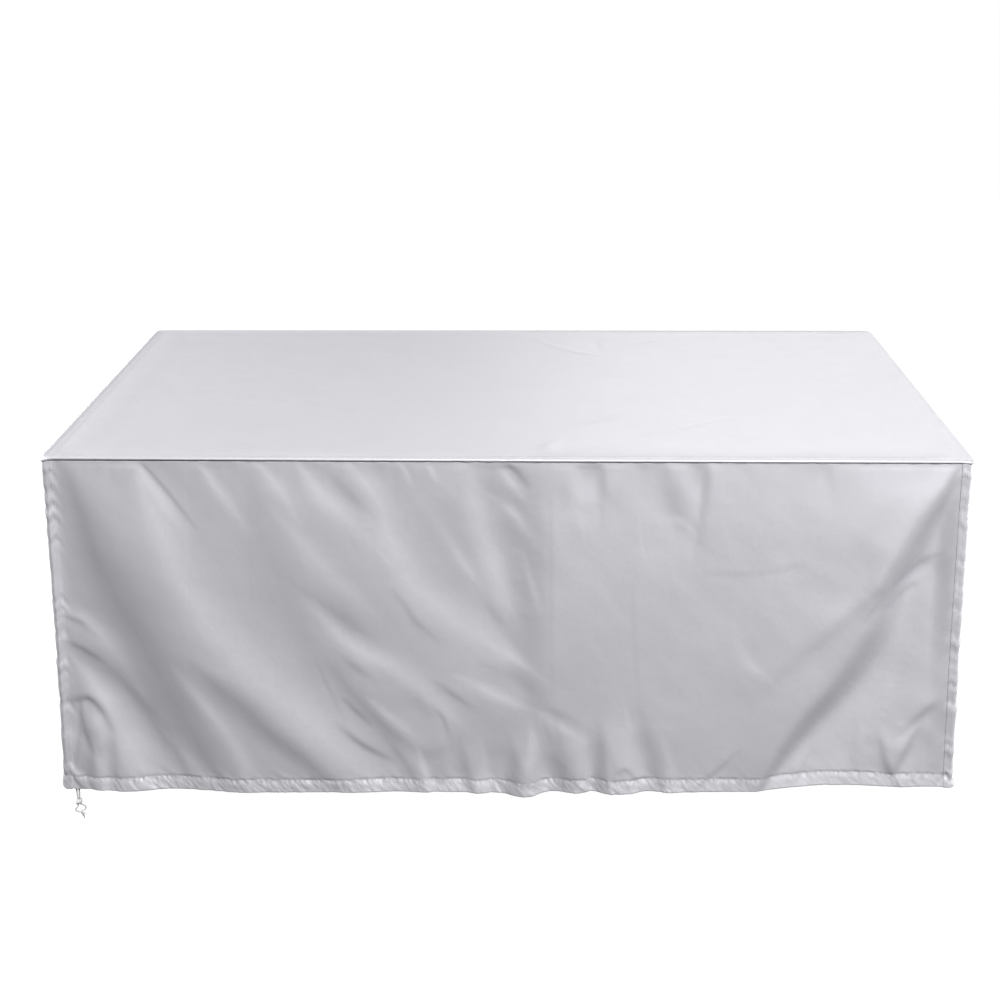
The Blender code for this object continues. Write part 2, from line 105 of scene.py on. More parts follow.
def flank_height(px, py, stations, sharp=0.0, reach=4.0):
    """Height in mm that one fold's flank gives each point of the chart.

    A soft flank is steepest along its middle; a sharp one is an even facet
    between two crisp edges."""
    line = smooth_line(stations, 6)
    out = np.zeros(px.shape)
    far = reach * 3.4 * max(s[2] for s in stations) / 2.0 + 4.0
    near = ((px > line[:, 0].min() - far) & (px < line[:, 0].max() + far)
            & (py > line[:, 1].min() - far) & (py < line[:, 1].max() + far))
    if not near.any():
        return out
    qx0, qy0 = px[near][:, None], py[near][:, None]
    a, b = line[:-1], line[1:]
    run = b[:, :2] - a[:, :2]
    length = np.sqrt((run ** 2).sum(1))
    gone = ((qx0 - a[:, 0]) * run[:, 0] + (qy0 - a[:, 1]) * run[:, 1]) / length ** 2
    t = np.clip(gone, 0.0, 1.0)
    dist = np.hypot(qx0 - a[:, 0] - t * run[:, 0], qy0 - a[:, 1] - t * run[:, 1])
    offs = (run[:, 1] * (qx0 - a[:, 0]) - run[:, 0] * (qy0 - a[:, 1])) / length
    nearest = dist.argmin(1)
    rows = np.arange(len(nearest))
    past = np.where(nearest == 0, np.maximum(-gone[:, 0], 0.0) * length[0], 0.0)
    last = len(length) - 1
    past = np.where(nearest == last,
                    np.maximum(gone[:, last] - 1.0, 0.0) * length[last], past)
    # distance to the line, less what lies past its ends
    reached = np.sqrt(np.maximum(dist ** 2 - past[:, None] ** 2, 0.0))
    reached = reached * np.sign(offs[rows, nearest])[:, None]
    least = dist[rows, nearest][:, None]
    weight = np.exp(-(dist - least) / (0.6 + 0.12 * least))
    weight /= weight.sum(1)[:, None]
    off = (weight * reached).sum(1)
    width = (weight * (a[:, 2] + t * (b[:, 2] - a[:, 2]))).sum(1)
    rise = (weight * (a[:, 3] + t * (b[:, 3] - a[:, 3]))).sum(1)
    half = np.maximum(width, 1.5) / 2.0
    u = off / half
    bank = u / (1.0 + np.abs(u) ** sharp) ** (1.0 / sharp) if sharp \
        else np.tanh(1.2 * u)
    h = 0.5 * rise * bank * np.exp(-np.abs(off) / (reach * half))
    out[near] = h * np.exp(-(past / (2.0 * half)) ** 2)
    return out


NOISE_TABLES = {}


def gradient_noise(x, y, seed):
    """Smooth 2-D noise, about -0.7 to 0.7, one cell per unit."""
    if seed not in NOISE_TABLES:
        ang = np.random.default_rng(seed).uniform(0.0, 2.0 * math.pi, (256, 256))
        NOISE_TABLES[seed] = (np.cos(ang), np.sin(ang))
    gx, gy = NOISE_TABLES[seed]
    xi, yi = np.floor(x).astype(int), np.floor(y).astype(int)
    fx, fy = x - xi, y - yi
    u = fx ** 3 * (fx * (fx * 6 - 15) + 10)
    v = fy ** 3 * (fy * (fy * 6 - 15) + 10)

    def corner(i, j):
        a, b = (xi + i) & 255, (yi + j) & 255
        return gx[a, b] * (fx - i) + gy[a, b] * (fy - j)

    top = corner(0, 0) * (1 - u) + corner(1, 0) * u
    low = corner(0, 1) * (1 - u) + corner(1, 1) * u
    return top * (1 - v) + low * v


def chart_share(drop):
    return drop / (DEPTH_RATIO + (1.0 - DEPTH_RATIO) * drop)


def chart_at(side, t):
    left = CHART_LEFT[0] + (CHART_LEFT[1] - CHART_LEFT[0]) * t
    right = CHART_RIGHT[0] + (CHART_RIGHT[1] - CHART_RIGHT[0]) * t
    down = CHART_TOP + (CHART_BOTTOM - CHART_TOP) * t
    return (left + right) / 2 + side * (right - left) / 2, down


FIELDS, SEAM_LINES = {}, {}


def seam_levels(row):
    """What the seam takes off the folds' heights where it holds the cloth:
    the broad level, and the part of the rest that is over about 1 mm."""
    window = np.hanning(31)
    padded = np.pad(row, 15, mode="edge")
    broad = np.convolve(padded, window / window.sum(), mode="valid")
    rest = row - broad
    return broad, rest - 0.6 * np.tanh(rest / 0.6)


def fold_field(wall, side, drop):
    """Height in mm of all a wall's folds, read from fields worked out once."""
    if wall not in FIELDS:
        made = []
        for table, step in zip(WALLS[wall]["tables"], (2.0, 0.9)):
            nx, ny = int(930 / step), int(324 / step)
            gs, gt = np.meshgrid(np.linspace(-1, 1, nx), np.linspace(0, 1, ny))
            px, py = chart_at(gs, gt)
            total = np.zeros_like(px)
            for fold, stations in table.items():
                total += flank_height(px, py, stations, SHARP.get(fold, 0.0))
            made.append(total)
        seam = made[0][0] + np.interp(np.linspace(0, 1, made[0].shape[1]),
                                      np.linspace(0, 1, made[1].shape[1]),
                                      made[1][0])
        FIELDS[wall] = made
        SEAM_LINES[wall] = seam_levels(seam)
    t = np.clip(chart_share(drop), 0.0, 1.0)
    out = np.zeros(np.broadcast(side, drop).shape)
    broad, rest = SEAM_LINES[wall]
    at = (np.broadcast_to(side, out.shape) + 1.0) / 2.0 * (len(broad) - 1)
    posts = np.arange(len(broad))
    out -= np.interp(at, posts, broad) * (1.0 - ease(0.0, 0.27, drop))
    out -= np.interp(at, posts, rest) * (1.0 - ease(0.0, 0.05, drop))
    for grid in FIELDS[wall]:
        ny, nx = grid.shape
        u = np.clip((side + 1.0) / 2.0, 0.0, 1.0) * (nx - 1)
        v = t * (ny - 1)
        i, j = np.minimum(u.astype(int), nx - 2), np.minimum(v.astype(int), ny - 2)
        fu, fv = u - i, v - j
        out = out + ((grid[j, i] * (1 - fu) + grid[j, i + 1] * fu) * (1 - fv)
                     + (grid[j + 1, i] * (1 - fu) + grid[j + 1, i + 1] * fu) * fv)
    return out


def hem_drop(side, table):
    across = 508.0 + side * 444.0
    cols = np.array(table, float)
    return np.interp(across, cols[:, 0], cols[:, 1]) / 1000.0


def hem_swell(left):
    """The drawstring channel stands out, most where the cord lies in it."""
    share = np.clip(1.0 - left / HEM, 0.0, 1.0)
    return HEM_BULGE * share ** 1.15


# ------------------------------------------------------------------ folds
# Each fold is one flank: stations down its length of
#   (across, down, width of the flank, rise across it in mm),
# in chart units.  Rise is what the cloth gains towards the viewer from the
# flank's left bank to its right bank, walking down the stations.
MAIN = {
    "left_long_flank": [(62, 470, 16, 3), (68, 488, 34, 9), (77, 512, 52, 17),
                        (88, 545, 70, 25), (102, 577, 86, 29),
                        (116, 605, 100, 31), (134, 635, 108, 32),
                        (150, 662, 104, 31), (168, 694, 90, 27),
                        (184, 722, 76, 22), (200, 750, 62, 17),
                        (218, 780, 44, 11)],
    "great_diagonal": [(131, 463, 14, -2), (138, 480, 28, -6),
                       (148, 504, 42, -10), (160, 530, 50, -13),
                       (172, 560, 58, -15), (188, 592, 66, -17),
                       (208, 622, 76, -19), (236, 654, 80, -20),
                       (272, 688, 74, -19), (318, 726, 62, -16),
                       (372, 776, 44, -10)],
    "under_diagonal": [(200, 666, 12, 1.8), (220, 684, 26, 7.9),
                       (244, 704, 32, 11.4), (272, 729, 32, 12.3),
                       (302, 752, 26, 10.6), (336, 779, 16, 5.3)],
    "between_left": [(186, 680, 16, -3), (206, 704, 20, -6),
                     (228, 732, 24, -6), (252, 774, 18, -3)],
    "corner_patch": [(78, 672, 14, -5.2), (96, 694, 36, -15.6),
                     (112, 722, 50, -24.4), (130, 750, 52, -24.4),
                     (146, 778, 46, -19.1)],
    "patch_edge": [(118, 684, 15, 2.1), (138, 708, 22.5, 5.6),
                   (158, 734, 24, 5.6), (178, 760, 18, 3.5),
                   (192, 780, 12, 1.4)],
    "left_foot_crease": [(76, 700, 4, 0.8), (74, 730, 5, 2.4),
                         (71, 756, 5, 2.6), (69, 772, 4, 1.2)],
    "left_foot_knuckle": [(67, 762, 4, -1.4), (74, 770, 6, -3),
                          (84, 776, 5, -1.2)],
    "left_foot_tuck": [(66, 772, 3, 1.4), (74, 780, 5, 2.8), (82, 787, 4, 1)],
    "left_foot_hollow": [(84, 704, 8, 1), (86, 730, 15, 4.2),
                         (88, 756, 18, 5.6), (88, 778, 16, 4.6)],
    "left_foot_streak": [(97, 726, 5, -0.8), (100, 750, 8, -3.2),
                         (102, 779, 8, -3.4)],
    "left_foot_hollow_b": [(106, 728, 6, 0.8), (111, 752, 12, 3.6),
                           (114, 779, 13, 3.8)],
    "left_lobe": [(68, 614, 14.4, -2.8), (90, 630, 31.2, -8.4),
                  (110, 652, 33.6, -8.4), (126, 676, 21.6, -2.8)],
    "left_lobe_under": [(66, 648, 18.7, 1.6), (94, 663, 37.4, 4.8),
                        (120, 682, 37.4, 4.8), (138, 700, 21.8, 1.6)],
    "beside_diagonal": [(250, 470, 30, 2), (262, 530, 56, 6),
                        (282, 590, 66, 8), (306, 640, 50, 4)],
    "seam_fold_a": [(299, 463, 12, -1), (318, 490, 28, -5),
                    (346, 516, 34, -5), (370, 540, 24, -2)],
    "seam_fold_b": [(350, 464, 16, -2), (376, 496, 36, -7),
                    (394, 540, 48, -9), (416, 584, 52, -9),
                    (454, 614, 50, -8), (500, 644, 34, -3)],
    "seam_fold_c": [(474, 464, 25.2, -4.2), (477, 500, 32.4, -11.2),
                    (488, 545, 32.4, -9.8), (507, 590, 23.4, -4.2)],
    "middle_rise": [(530, 468, 46, 10.8), (529, 530, 50, 16.2),
                    (530, 600, 46, 16.2), (532, 650, 38, 10.8),
                    (536, 690, 26, 2.7)],
    "middle_fold": [(314, 606, 18, -2), (348, 640, 26, -6),
                    (396, 665, 34, -7), (444, 704, 24, -3)],
    "middle_fold_under": [(322, 650, 20, 1), (352, 690, 28, 6),
                          (388, 724, 28, 7), (418, 748, 18, 2)],
    "pleat_a": [(536, 738, 16.1, -2.8), (540, 760, 23, -7.2),
                (544, 782, 25.3, -9)],
    "pleat_b": [(605, 732, 12.7, 2.6), (604, 756, 18.9, 8.4),
                (602, 782, 22.8, 10.9)],
    "pleat_c": [(648, 722, 14, 2.2), (655, 748, 25.1, 7.8),
                (661, 782, 27.8, 10.2)],
    "foot_wide_a": [(514, 742, 10, 1.8), (517, 760, 20, 6.5),
                    (518, 783, 22, 7.5)],
    "foot_wide_b": [(562, 736, 14, 2.4), (565, 756, 32, 8.5),
                    (566, 783, 36, 9.5)],
    "foot_wide_c": [(604, 738, 12, 2), (607, 758, 26, 6.5),
                    (608, 783, 28, 7.5)],
    "foot_light_a": [(539, 744, 8, -2), (539, 762, 12, -5.5),
                     (539, 783, 14, -6.5)],
    "foot_light_b": [(588, 746, 6, -1.6), (589, 764, 8, -4),
                     (590, 783, 9, -4.5)],
    "foot_light_c": [(634, 740, 10, -2), (635, 760, 16, -5.5),
                     (637, 783, 18, -6.5)],
    "k_wide_a": [(862, 736, 8, 1.5), (858, 758, 18, 6), (854, 781, 20, 7)],
    "right_tension_upper": [(969, 462, 9, -8), (952, 491, 24, -24),
                            (931, 522, 36, -38), (913, 551, 36, -40),
                            (894, 580, 28, -27), (882, 598, 16, -8)],
    "right_tension": [(916, 566, 14, -8), (898, 600, 28, -27),
                      (878, 643, 36, -38), (850, 684, 34, -36),
                      (816, 719, 28, -29), (787, 751, 21, -20),
                      (767, 778, 10, -8)],
    "right_tension_soft": [(966, 470, 20, -2), (926, 540, 60, -6),
                           (884, 612, 76, -7), (830, 690, 70, -6),
                           (780, 766, 44, -3)],
    "right_parallel": [(896, 572, 20, -1), (850, 618, 26, -5),
                       (806, 653, 26, -4), (764, 690, 18, -1)],
    "right_shoulder": [(930, 600, 30, 3), (914, 650, 44, 8),
                       (886, 700, 48, 9), (850, 756, 36, 5)],
    "right_return": [(912, 470, 110, 2), (905, 540, 120, 7), (896, 610, 120, 8),
                     (890, 680, 110, 7), (884, 770, 90, 3)],
    "right_corner_pleat": [(870, 725, 16.2, -1.5), (852, 778, 21.6, -7.5)],
}
# folds that are even facets between crisp edges, and how crisp
SHARP = {"foot_wide_a": 4.0, "foot_wide_b": 4.0, "foot_wide_c": 4.0,
         "k_wide_a": 4.0, "under_diagonal": 3.0, "crease_r1": 4.0,
         "right_tension_upper": 4.0, "right_tension": 4.0,
         "middle_rise": 5.0, "pleat_a": 4.0, "pleat_b": 4.0, "pleat_c": 4.0,
         "pleat_a_dark": 4.0, "pleat_ab": 4.0, "pleat_ab_light": 4.0,
         "pleat_bc_light": 3.0, "seam_fold_c": 3.0, "foot_c": 3.0,
         "k_foot_b": 3.0, "k_foot_c": 3.0, "corner_patch": 3.0,
         "top_v1": 3.0, "top_v2": 3.0, "top_v3": 3.0, "top_v4": 3.0,
         "top_v5": 3.0, "top_v6": 3.0, "top_v7": 3.0}
FINE = {
    "arch": [(70, 700, 8.2, 3.2), (84, 699, 11.4, 8), (95, 708, 11.4, 8),
             (104, 722, 9.7, 3.2)],
    "wedge": [(76, 712, 8.2, 3.2), (80, 730, 11.4, 8), (87, 744, 8.2, 3.2)],
    "strip": [(88, 742, 11.9, -2.8), (95, 758, 13.4, -5.6),
              (99, 776, 11.9, -4.2)],
    "lobe_tip": [(63, 620, 5.4, 2), (74, 624, 8.1, 3), (84, 632, 8.1, 1)],
    "lobe_tip_low": [(64, 645, 5.4, 2), (76, 650, 8.1, 3), (90, 658, 8.1, 2)],
    "small_wedge": [(172, 744, 18.9, -2), (190, 761, 21.6, -5),
                    (209, 777, 10.8, -3)],
    "crease_r1": [(134, 463, 8, -1.7), (150, 486, 13, -2.8),
                  (167, 510, 14, -2.2), (182, 529, 10, -0.6)],
    "crease_r1_dark": [(139, 463, 3, 1), (164, 491, 3.4, 1.8),
                       (194, 527, 3, 0.6)],
    "seam_r2": [(196, 462, 8, -1.2), (210, 480, 16.1, -3.6),
                (225, 500, 18.7, -3.6), (242, 522, 13.4, -1.2)],
    "seam_r3": [(257, 462, 10.7, -1.2), (270, 478, 18.7, -3.3),
                (282, 492, 21.3, -3.3), (291, 507, 13.4, -0.8)],
    "between_r4": [(330, 476, 16.2, 1), (350, 494, 18.9, 3),
                   (366, 508, 13.5, 1)],
    "crease_r5": [(398, 592, 8.1, 0.6), (408, 605, 9.5, 1.7),
                  (416, 618, 9.5, 2.2), (438, 636, 8.1, 0.6)],
    "tick_a": [(404, 464, 5.9, -1.5), (411, 480, 5.9, -0.8)],
    "tick_b": [(430, 464, 5.9, -1.5), (437, 478, 5.9, -0.8)],
    "branch_r7": [(446, 533, 13.5, -1), (464, 560, 16.2, -3),
                  (480, 586, 13.5, -1)],
    "seam_r8": [(502, 466, 10.8, -1.4), (511, 479, 16.2, -3.5),
                (521, 491, 16.2, -2.8), (528, 502, 10.8, -0.7)],
    "notch_r8": [(511, 464, 8.1, 1.8), (519, 472, 10.8, 3),
                 (527, 481, 8.1, 1.2)],
    "fold_r8b": [(504, 504, 13.5, -1), (516, 513, 16.2, -4),
                 (538, 540, 13.5, -1)],
    "streak_mid": [(528, 558, 8.1, -1), (534, 580, 9.5, -2),
                   (541, 602, 6.8, -1)],
    "blob_mid": [(488, 600, 16.2, 1.4), (497, 613, 18.9, 3.5),
                 (508, 628, 16.2, 1.4)],
    "patch_mid": [(505, 648, 16.2, -0.9), (520, 655, 17.6, -2.7),
                  (534, 665, 13.5, -0.9)],
    "crease_mid": [(504, 667, 16.5, 1.2), (520, 673, 19.8, 2.3),
                   (546, 696, 16.5, 0.7)],
    "light_low": [(474, 679, 16.2, -2), (494, 688, 18.9, -4),
                  (517, 698, 13.5, -2)],
    "crease_low": [(443, 683, 8.1, 1.2), (454, 690, 9.5, 2.5),
                   (470, 700, 8.1, 1.2)],
    "crease_low_b": [(546, 702, 12.8, 0.9), (562, 709, 14.5, 1.9),
                     (586, 722, 12.8, 0.6)],
    "light_low_b": [(549, 712, 11.9, -1.2), (564, 722, 14.9, -2.5),
                    (578, 731, 11.9, -1.2)],
    "mid_m1": [(283, 521, 16.2, -1), (302, 541, 27, -3), (322, 562, 32.4, -4),
               (362, 600, 18.9, -1)],
    "over_m2": [(316, 597, 16.2, 1.5), (336, 611, 24.3, 3.8),
                (352, 623, 24.3, 3.8), (374, 638, 16.2, 0.8)],
    "spot_m2": [(344, 655, 10.8, 0.7), (357, 664, 12.2, 2.8),
                (370, 673, 8.1, 0.7)],
    "light_m3": [(378, 702, 10.8, -2), (390, 712, 16.2, -4),
                 (420, 735, 13.5, -1)],
    "over_m3": [(404, 684, 21.6, 0.8), (421, 698, 24.3, 3.2),
                (438, 714, 16.2, 0.8)],
    "arc_m3": [(439, 707, 4.8, 1), (446, 716, 4.8, 2), (449, 731, 4.8, 1)],
    "inner_b1": [(344, 697, 4.8, 1), (356, 708, 6, 2), (369, 719, 4.8, 1)],
    "inner_b2": [(340, 724, 6.8, 1), (364, 742, 8.1, 4), (393, 757, 6.8, 1)],
    "beside_b": [(390, 739, 11.9, 1.3), (401, 753, 14.9, 3.8),
                 (419, 777, 11.9, 2.6)],
    "foot_a": [(424, 760, 11.5, -5.4), (430, 778, 13.8, -7.2)],
    "foot_b": [(448, 736, 13.5, -1), (452, 766, 13.5, -2)],
    "foot_c": [(465, 752, 12.7, 3.2), (471, 778, 15.2, 8.2)],
    "foot_d": [(486, 758, 13.8, -3.6), (488, 780, 16.1, -7.2)],
    "low_slant": [(545, 706, 15.2, 1.5), (528, 727, 22.8, 4.5),
                  (510, 752, 26.6, 6), (496, 779, 30.4, 6)],
    "pleat_a_dark": [(524, 744, 14.5, 4.8), (517, 761, 20.4, 9.7),
                     (512, 780, 17.5, 9.7)],
    "pleat_ab": [(556, 744, 20.4, 3.1), (562, 762, 23.3, 7.8),
                 (566, 780, 20.4, 6.3)],
    "pleat_ab_light": [(588, 748, 15.9, -4), (588, 780, 15.9, -6.7)],
    "pleat_b_light": [(612, 764, 10.6, -2.2), (615, 780, 10.6, -3.3)],
    "pleat_bc_light": [(635, 734, 18.5, -4), (640, 756, 23.8, -6.7),
                       (645, 780, 18.5, -6.7)],
    "pleat_curl": [(621, 765, 4.4, 1), (630, 763, 5.5, 3), (639, 774, 5.5, 2)],
    "pleat_c_light": [(671, 752, 13.2, -2.2), (678, 778, 15.9, -3.3)],
    "near_hem": [(738, 748, 4.8, -1), (720, 765, 6, -2.5), (702, 779, 6, -2)],
    "top_v1": [(579, 462, 23.8, -6.8), (580, 482, 25.9, -9),
               (583, 505, 21.6, -2.2)],
    "top_v2": [(606, 463, 14.6, 4.2), (606, 484, 17, 6.3),
               (606, 504, 14.6, 2.1)],
    "top_v3": [(635, 462, 33, -3), (638, 486, 37.4, -4.5),
               (641, 508, 33, -1.5)],
    "top_v4": [(667, 463, 24.3, 3.2), (672, 490, 26.7, 5.4),
               (682, 514, 24.3, 4.3), (700, 534, 17, 1.1)],
    "top_v5": [(693, 463, 19.4, -3.2), (694, 484, 21.9, -5.4),
               (699, 505, 17, -2.2)],
    "top_v6": [(711, 463, 12.2, 3), (710, 490, 14.6, 6), (705, 522, 14.6, 4.5),
               (702, 546, 12.2, 1.5)],
    "top_v7": [(733, 463, 24.3, -2.4), (731, 500, 27, -1.2)],
    "crescent": [(697, 531, 8.1, 0.7), (684, 519, 12.2, 1.8),
                 (668, 521, 10.8, 0.3)],
    "spot_r": [(835, 468, 10.8, 0.6), (836, 480, 13.5, 1.8),
               (837, 493, 10.8, 0.6)],
    "k_upper_light": [(961, 466, 10.8, 2), (941, 489, 18.9, 5),
                      (926, 510, 21.6, 5), (896, 550, 24.3, 5),
                      (864, 589, 21.6, 4), (830, 620, 16.2, 1)],
    "k_faint": [(910, 490, 24.3, -1), (884, 516, 27, -3), (860, 548, 27, -3),
                (838, 602, 21.6, -1)],
    "k_branch": [(944, 556, 6.8, -1), (927, 565, 10.8, -4),
                 (911, 576, 10.8, -3)],
    "k_branch_b": [(928, 583, 6.8, -1), (912, 592, 9.5, -3),
                   (898, 602, 9.5, -2)],
    "beside_seam": [(950, 552, 13.5, 1), (952, 580, 16.2, 3),
                    (951, 612, 16.2, 3), (946, 640, 13.5, 1)],
    "k_foot_a": [(912, 648, 19.4, -1.5), (898, 676, 21.9, -3.8),
                 (884, 716, 21.9, -3)],
    "k_foot_b": [(886, 750, 9.7, 3.8), (889, 764, 12.2, 6.3),
                 (897, 778, 12.2, 5)],
    "k_foot_c": [(916, 739, 9.7, -6.3), (908, 752, 12.2, -10.5),
                 (899, 767, 9.7, -6.3)],
    "k_foot_d": [(948, 698, 9.7, -1.5), (930, 711, 12.2, -6),
                 (910, 728, 9.7, -3)],
    "k_foot_e": [(812, 756, 6.1, -1.5), (804, 772, 7.3, -3)],
    "faint_r": [(796, 496, 21.6, -1), (784, 530, 24.3, -2)],
    "faint_h": [(712, 572, 5.4, 0.4), (760, 571, 6.8, 0.6),
                (806, 563, 5.4, 0.4)],
    "spot_low_r": [(744, 638, 16.2, -1), (752, 658, 18.9, -3),
                   (768, 672, 13.5, -1)],
    "faint_v": [(636, 590, 5.4, 0.4), (638, 640, 5.4, 0.6),
                (643, 694, 5.4, 0.4)],
    "pack_line": [(554, 500, 3, 0.4), (554.5, 560, 4, 0.7), (554, 640, 4, 0.5),
                  (554, 690, 3, 0.3)],
}
BACK = {
    "left_tension": [(52, 470, 8, 2), (84, 520, 26, 9), (120, 590, 38, 14),
                     (164, 664, 40, 14), (214, 730, 30, 9),
                     (240, 780, 16, 3)],
    "right_tension": [(960, 470, 8, -2), (930, 530, 26, -9),
                      (894, 610, 38, -13), (842, 690, 34, -11),
                      (802, 780, 18, -4)],
    "slack_a": [(300, 500, 20, -2), (338, 580, 40, -8), (384, 660, 46, -9),
                (420, 780, 30, -4)],
    "slack_b": [(420, 520, 20, 2), (452, 610, 40, 7), (500, 700, 40, 8),
                (528, 780, 26, 4)],
    "slack_c": [(700, 500, 20, 2), (672, 600, 40, 8), (640, 700, 40, 8),
                (628, 780, 26, 4)],
    "slack_d": [(610, 560, 20, -2), (580, 660, 36, -6), (566, 780, 24, -4)],
}
BACK_FINE = {
    "seam_a": [(180, 464, 8, -1), (196, 486, 16, -4), (214, 512, 14, -1)],
    "seam_b": [(332, 464, 8, 1), (346, 490, 16, 4), (360, 520, 14, 1)],
    "seam_c": [(518, 464, 12, -2), (522, 496, 18, -4), (530, 540, 14, -1)],
    "seam_d": [(744, 464, 10, 2), (734, 494, 16, 4), (716, 530, 14, 1)],
    "foot_a": [(120, 742, 10, 2), (126, 780, 14, 5)],
    "foot_b": [(310, 744, 10, -2), (318, 780, 14, -5)],
    "foot_c": [(476, 740, 10, 2), (470, 780, 14, 5)],
    "foot_d": [(690, 742, 10, -2), (700, 780, 14, -5)],
    "foot_e": [(880, 738, 10, 2), (874, 780, 14, 5)],
}
LEFT = {
    "front_tension": [(960, 472, 14, -2), (900, 560, 60, -10),
                      (820, 660, 70, -12), (740, 780, 40, -4)],
    "back_tension": [(58, 472, 14, 2), (130, 560, 60, 9),
                     (220, 680, 70, 11), (300, 780, 40, 4)],
    "slack": [(430, 520, 40, -2), (480, 640, 80, -8), (520, 780, 60, -6)],
}
LEFT_FINE = {
    "seam_a": [(300, 464, 12, -1), (316, 500, 24, -3), (340, 540, 20, -1)],
    "seam_b": [(640, 464, 12, 1), (628, 500, 24, 3), (610, 550, 20, 1)],
    "foot_a": [(640, 730, 20, 2), (650, 780, 26, 5)],
    "foot_b": [(350, 735, 20, -2), (342, 780, 26, -4)],
}
RIGHT = {
    "front_tension": [(56, 472, 14, 2), (120, 570, 60, 10),
                      (210, 670, 70, 12), (290, 780, 40, 4)],
    "back_tension": [(958, 472, 14, -2), (890, 580, 60, -9),
                     (800, 700, 70, -10), (730, 780, 40, -4)],
    "slack": [(600, 500, 40, 2), (560, 620, 80, 7), (500, 780, 60, 6)],
}
RIGHT_FINE = {
    "seam_a": [(420, 464, 12, 1), (408, 500, 24, 3), (388, 540, 20, 1)],
    "seam_b": [(700, 464, 12, -1), (716, 500, 24, -3), (740, 550, 20, -1)],
    "foot_a": [(660, 730, 20, 2), (668, 780, 26, 5)],
    "foot_b": [(400, 735, 20, -2), (392, 780, 26, -4)],
}
FRONT_HEM = [(64, 3), (73, 12), (86, 9), (110, 14), (174, 15), (258, 14),
             (340, 13), (432, 14), (506, 18), (527, 18), (554, 14),
             (589, 10), (716, 7), (768, 5), (796, -1), (829, -7), (866, -8),
             (896, -6), (926, -8), (952, -9)]
BACK_HEM = [(64, 0), (100, 0), (240, 7), (420, 12), (600, 9), (800, 11),
            (900, 4), (952, 4)]
LEFT_HEM = [(64, 4), (150, 4), (420, 12), (650, 9), (850, 6), (925, 5),
            (952, 0)]
RIGHT_HEM = [(64, -9), (150, -9), (380, 0), (700, 2), (850, 0), (952, 0)]

# How strongly the drawn hem puckers along each panel: (across, mm)
FRONT_PUCKER = [(64, 0.6), (90, 1.2), (130, 2.0), (420, 2.0), (450, 1.4),
                (500, 2.0), (700, 1.8), (740, 0.7), (860, 0.8), (890, 1.6),
                (952, 0.9)]
EVEN_PUCKER = [(64, 0.8), (300, 1.7), (700, 1.7), (952, 0.8)]


# ------------------------------------------------------------------ surfaces
def long_face_out(drop):
    return WIDTH / 2 + 0.0002 + FACE_FLARE * drop


def short_face_out(drop):
    # the ends hang in a little at half height between the seam and the hem
    hollow = 0.0022 * np.sin(math.pi * np.clip(drop, 0.0, 1.0))
    return LENGTH / 2 + END_EASE + END_FLARE * drop - hollow


WALLS = {
    "front": dict(tables=[MAIN, FINE], hem=FRONT_HEM, pucker=FRONT_PUCKER,
                  seed=11, lean=1.15, tame=1.0),
    "back": dict(tables=[BACK, BACK_FINE], hem=BACK_HEM, pucker=EVEN_PUCKER,
                 seed=23, lean=-0.9, tame=1.0),
    "left": dict(tables=[LEFT, LEFT_FINE], hem=LEFT_HEM, pucker=EVEN_PUCKER,
                 seed=37, lean=0.9, tame=1.0),
    "right": dict(tables=[RIGHT, RIGHT_FINE], hem=RIGHT_HEM,
                  pucker=EVEN_PUCKER, seed=53, lean=-1.0, tame=1.0),
}


FOLD_GAIN = 1.35


def corner_pucker(z, away, seed):
    """Puckering that the corner seam's stitches draw into the cloth."""
    chevron = z / 0.0155 + np.abs(away - 0.0155) / 0.0100
    ripple = np.tanh(2.4 * gradient_noise(chevron, away / 0.05, seed))
    patch = 0.6 + 0.9 * gradient_noise(z / 0.055, 0.5 + 0 * away, seed + 2)
    wave = gradient_noise(z / 0.060, away / 0.08 + 7.0, seed + 1)
    return (0.0022 * patch * ripple * np.exp(-((away - 0.014) / 0.013) ** 2)
            + 0.0030 * wave * np.exp(-(away / 0.030) ** 2))


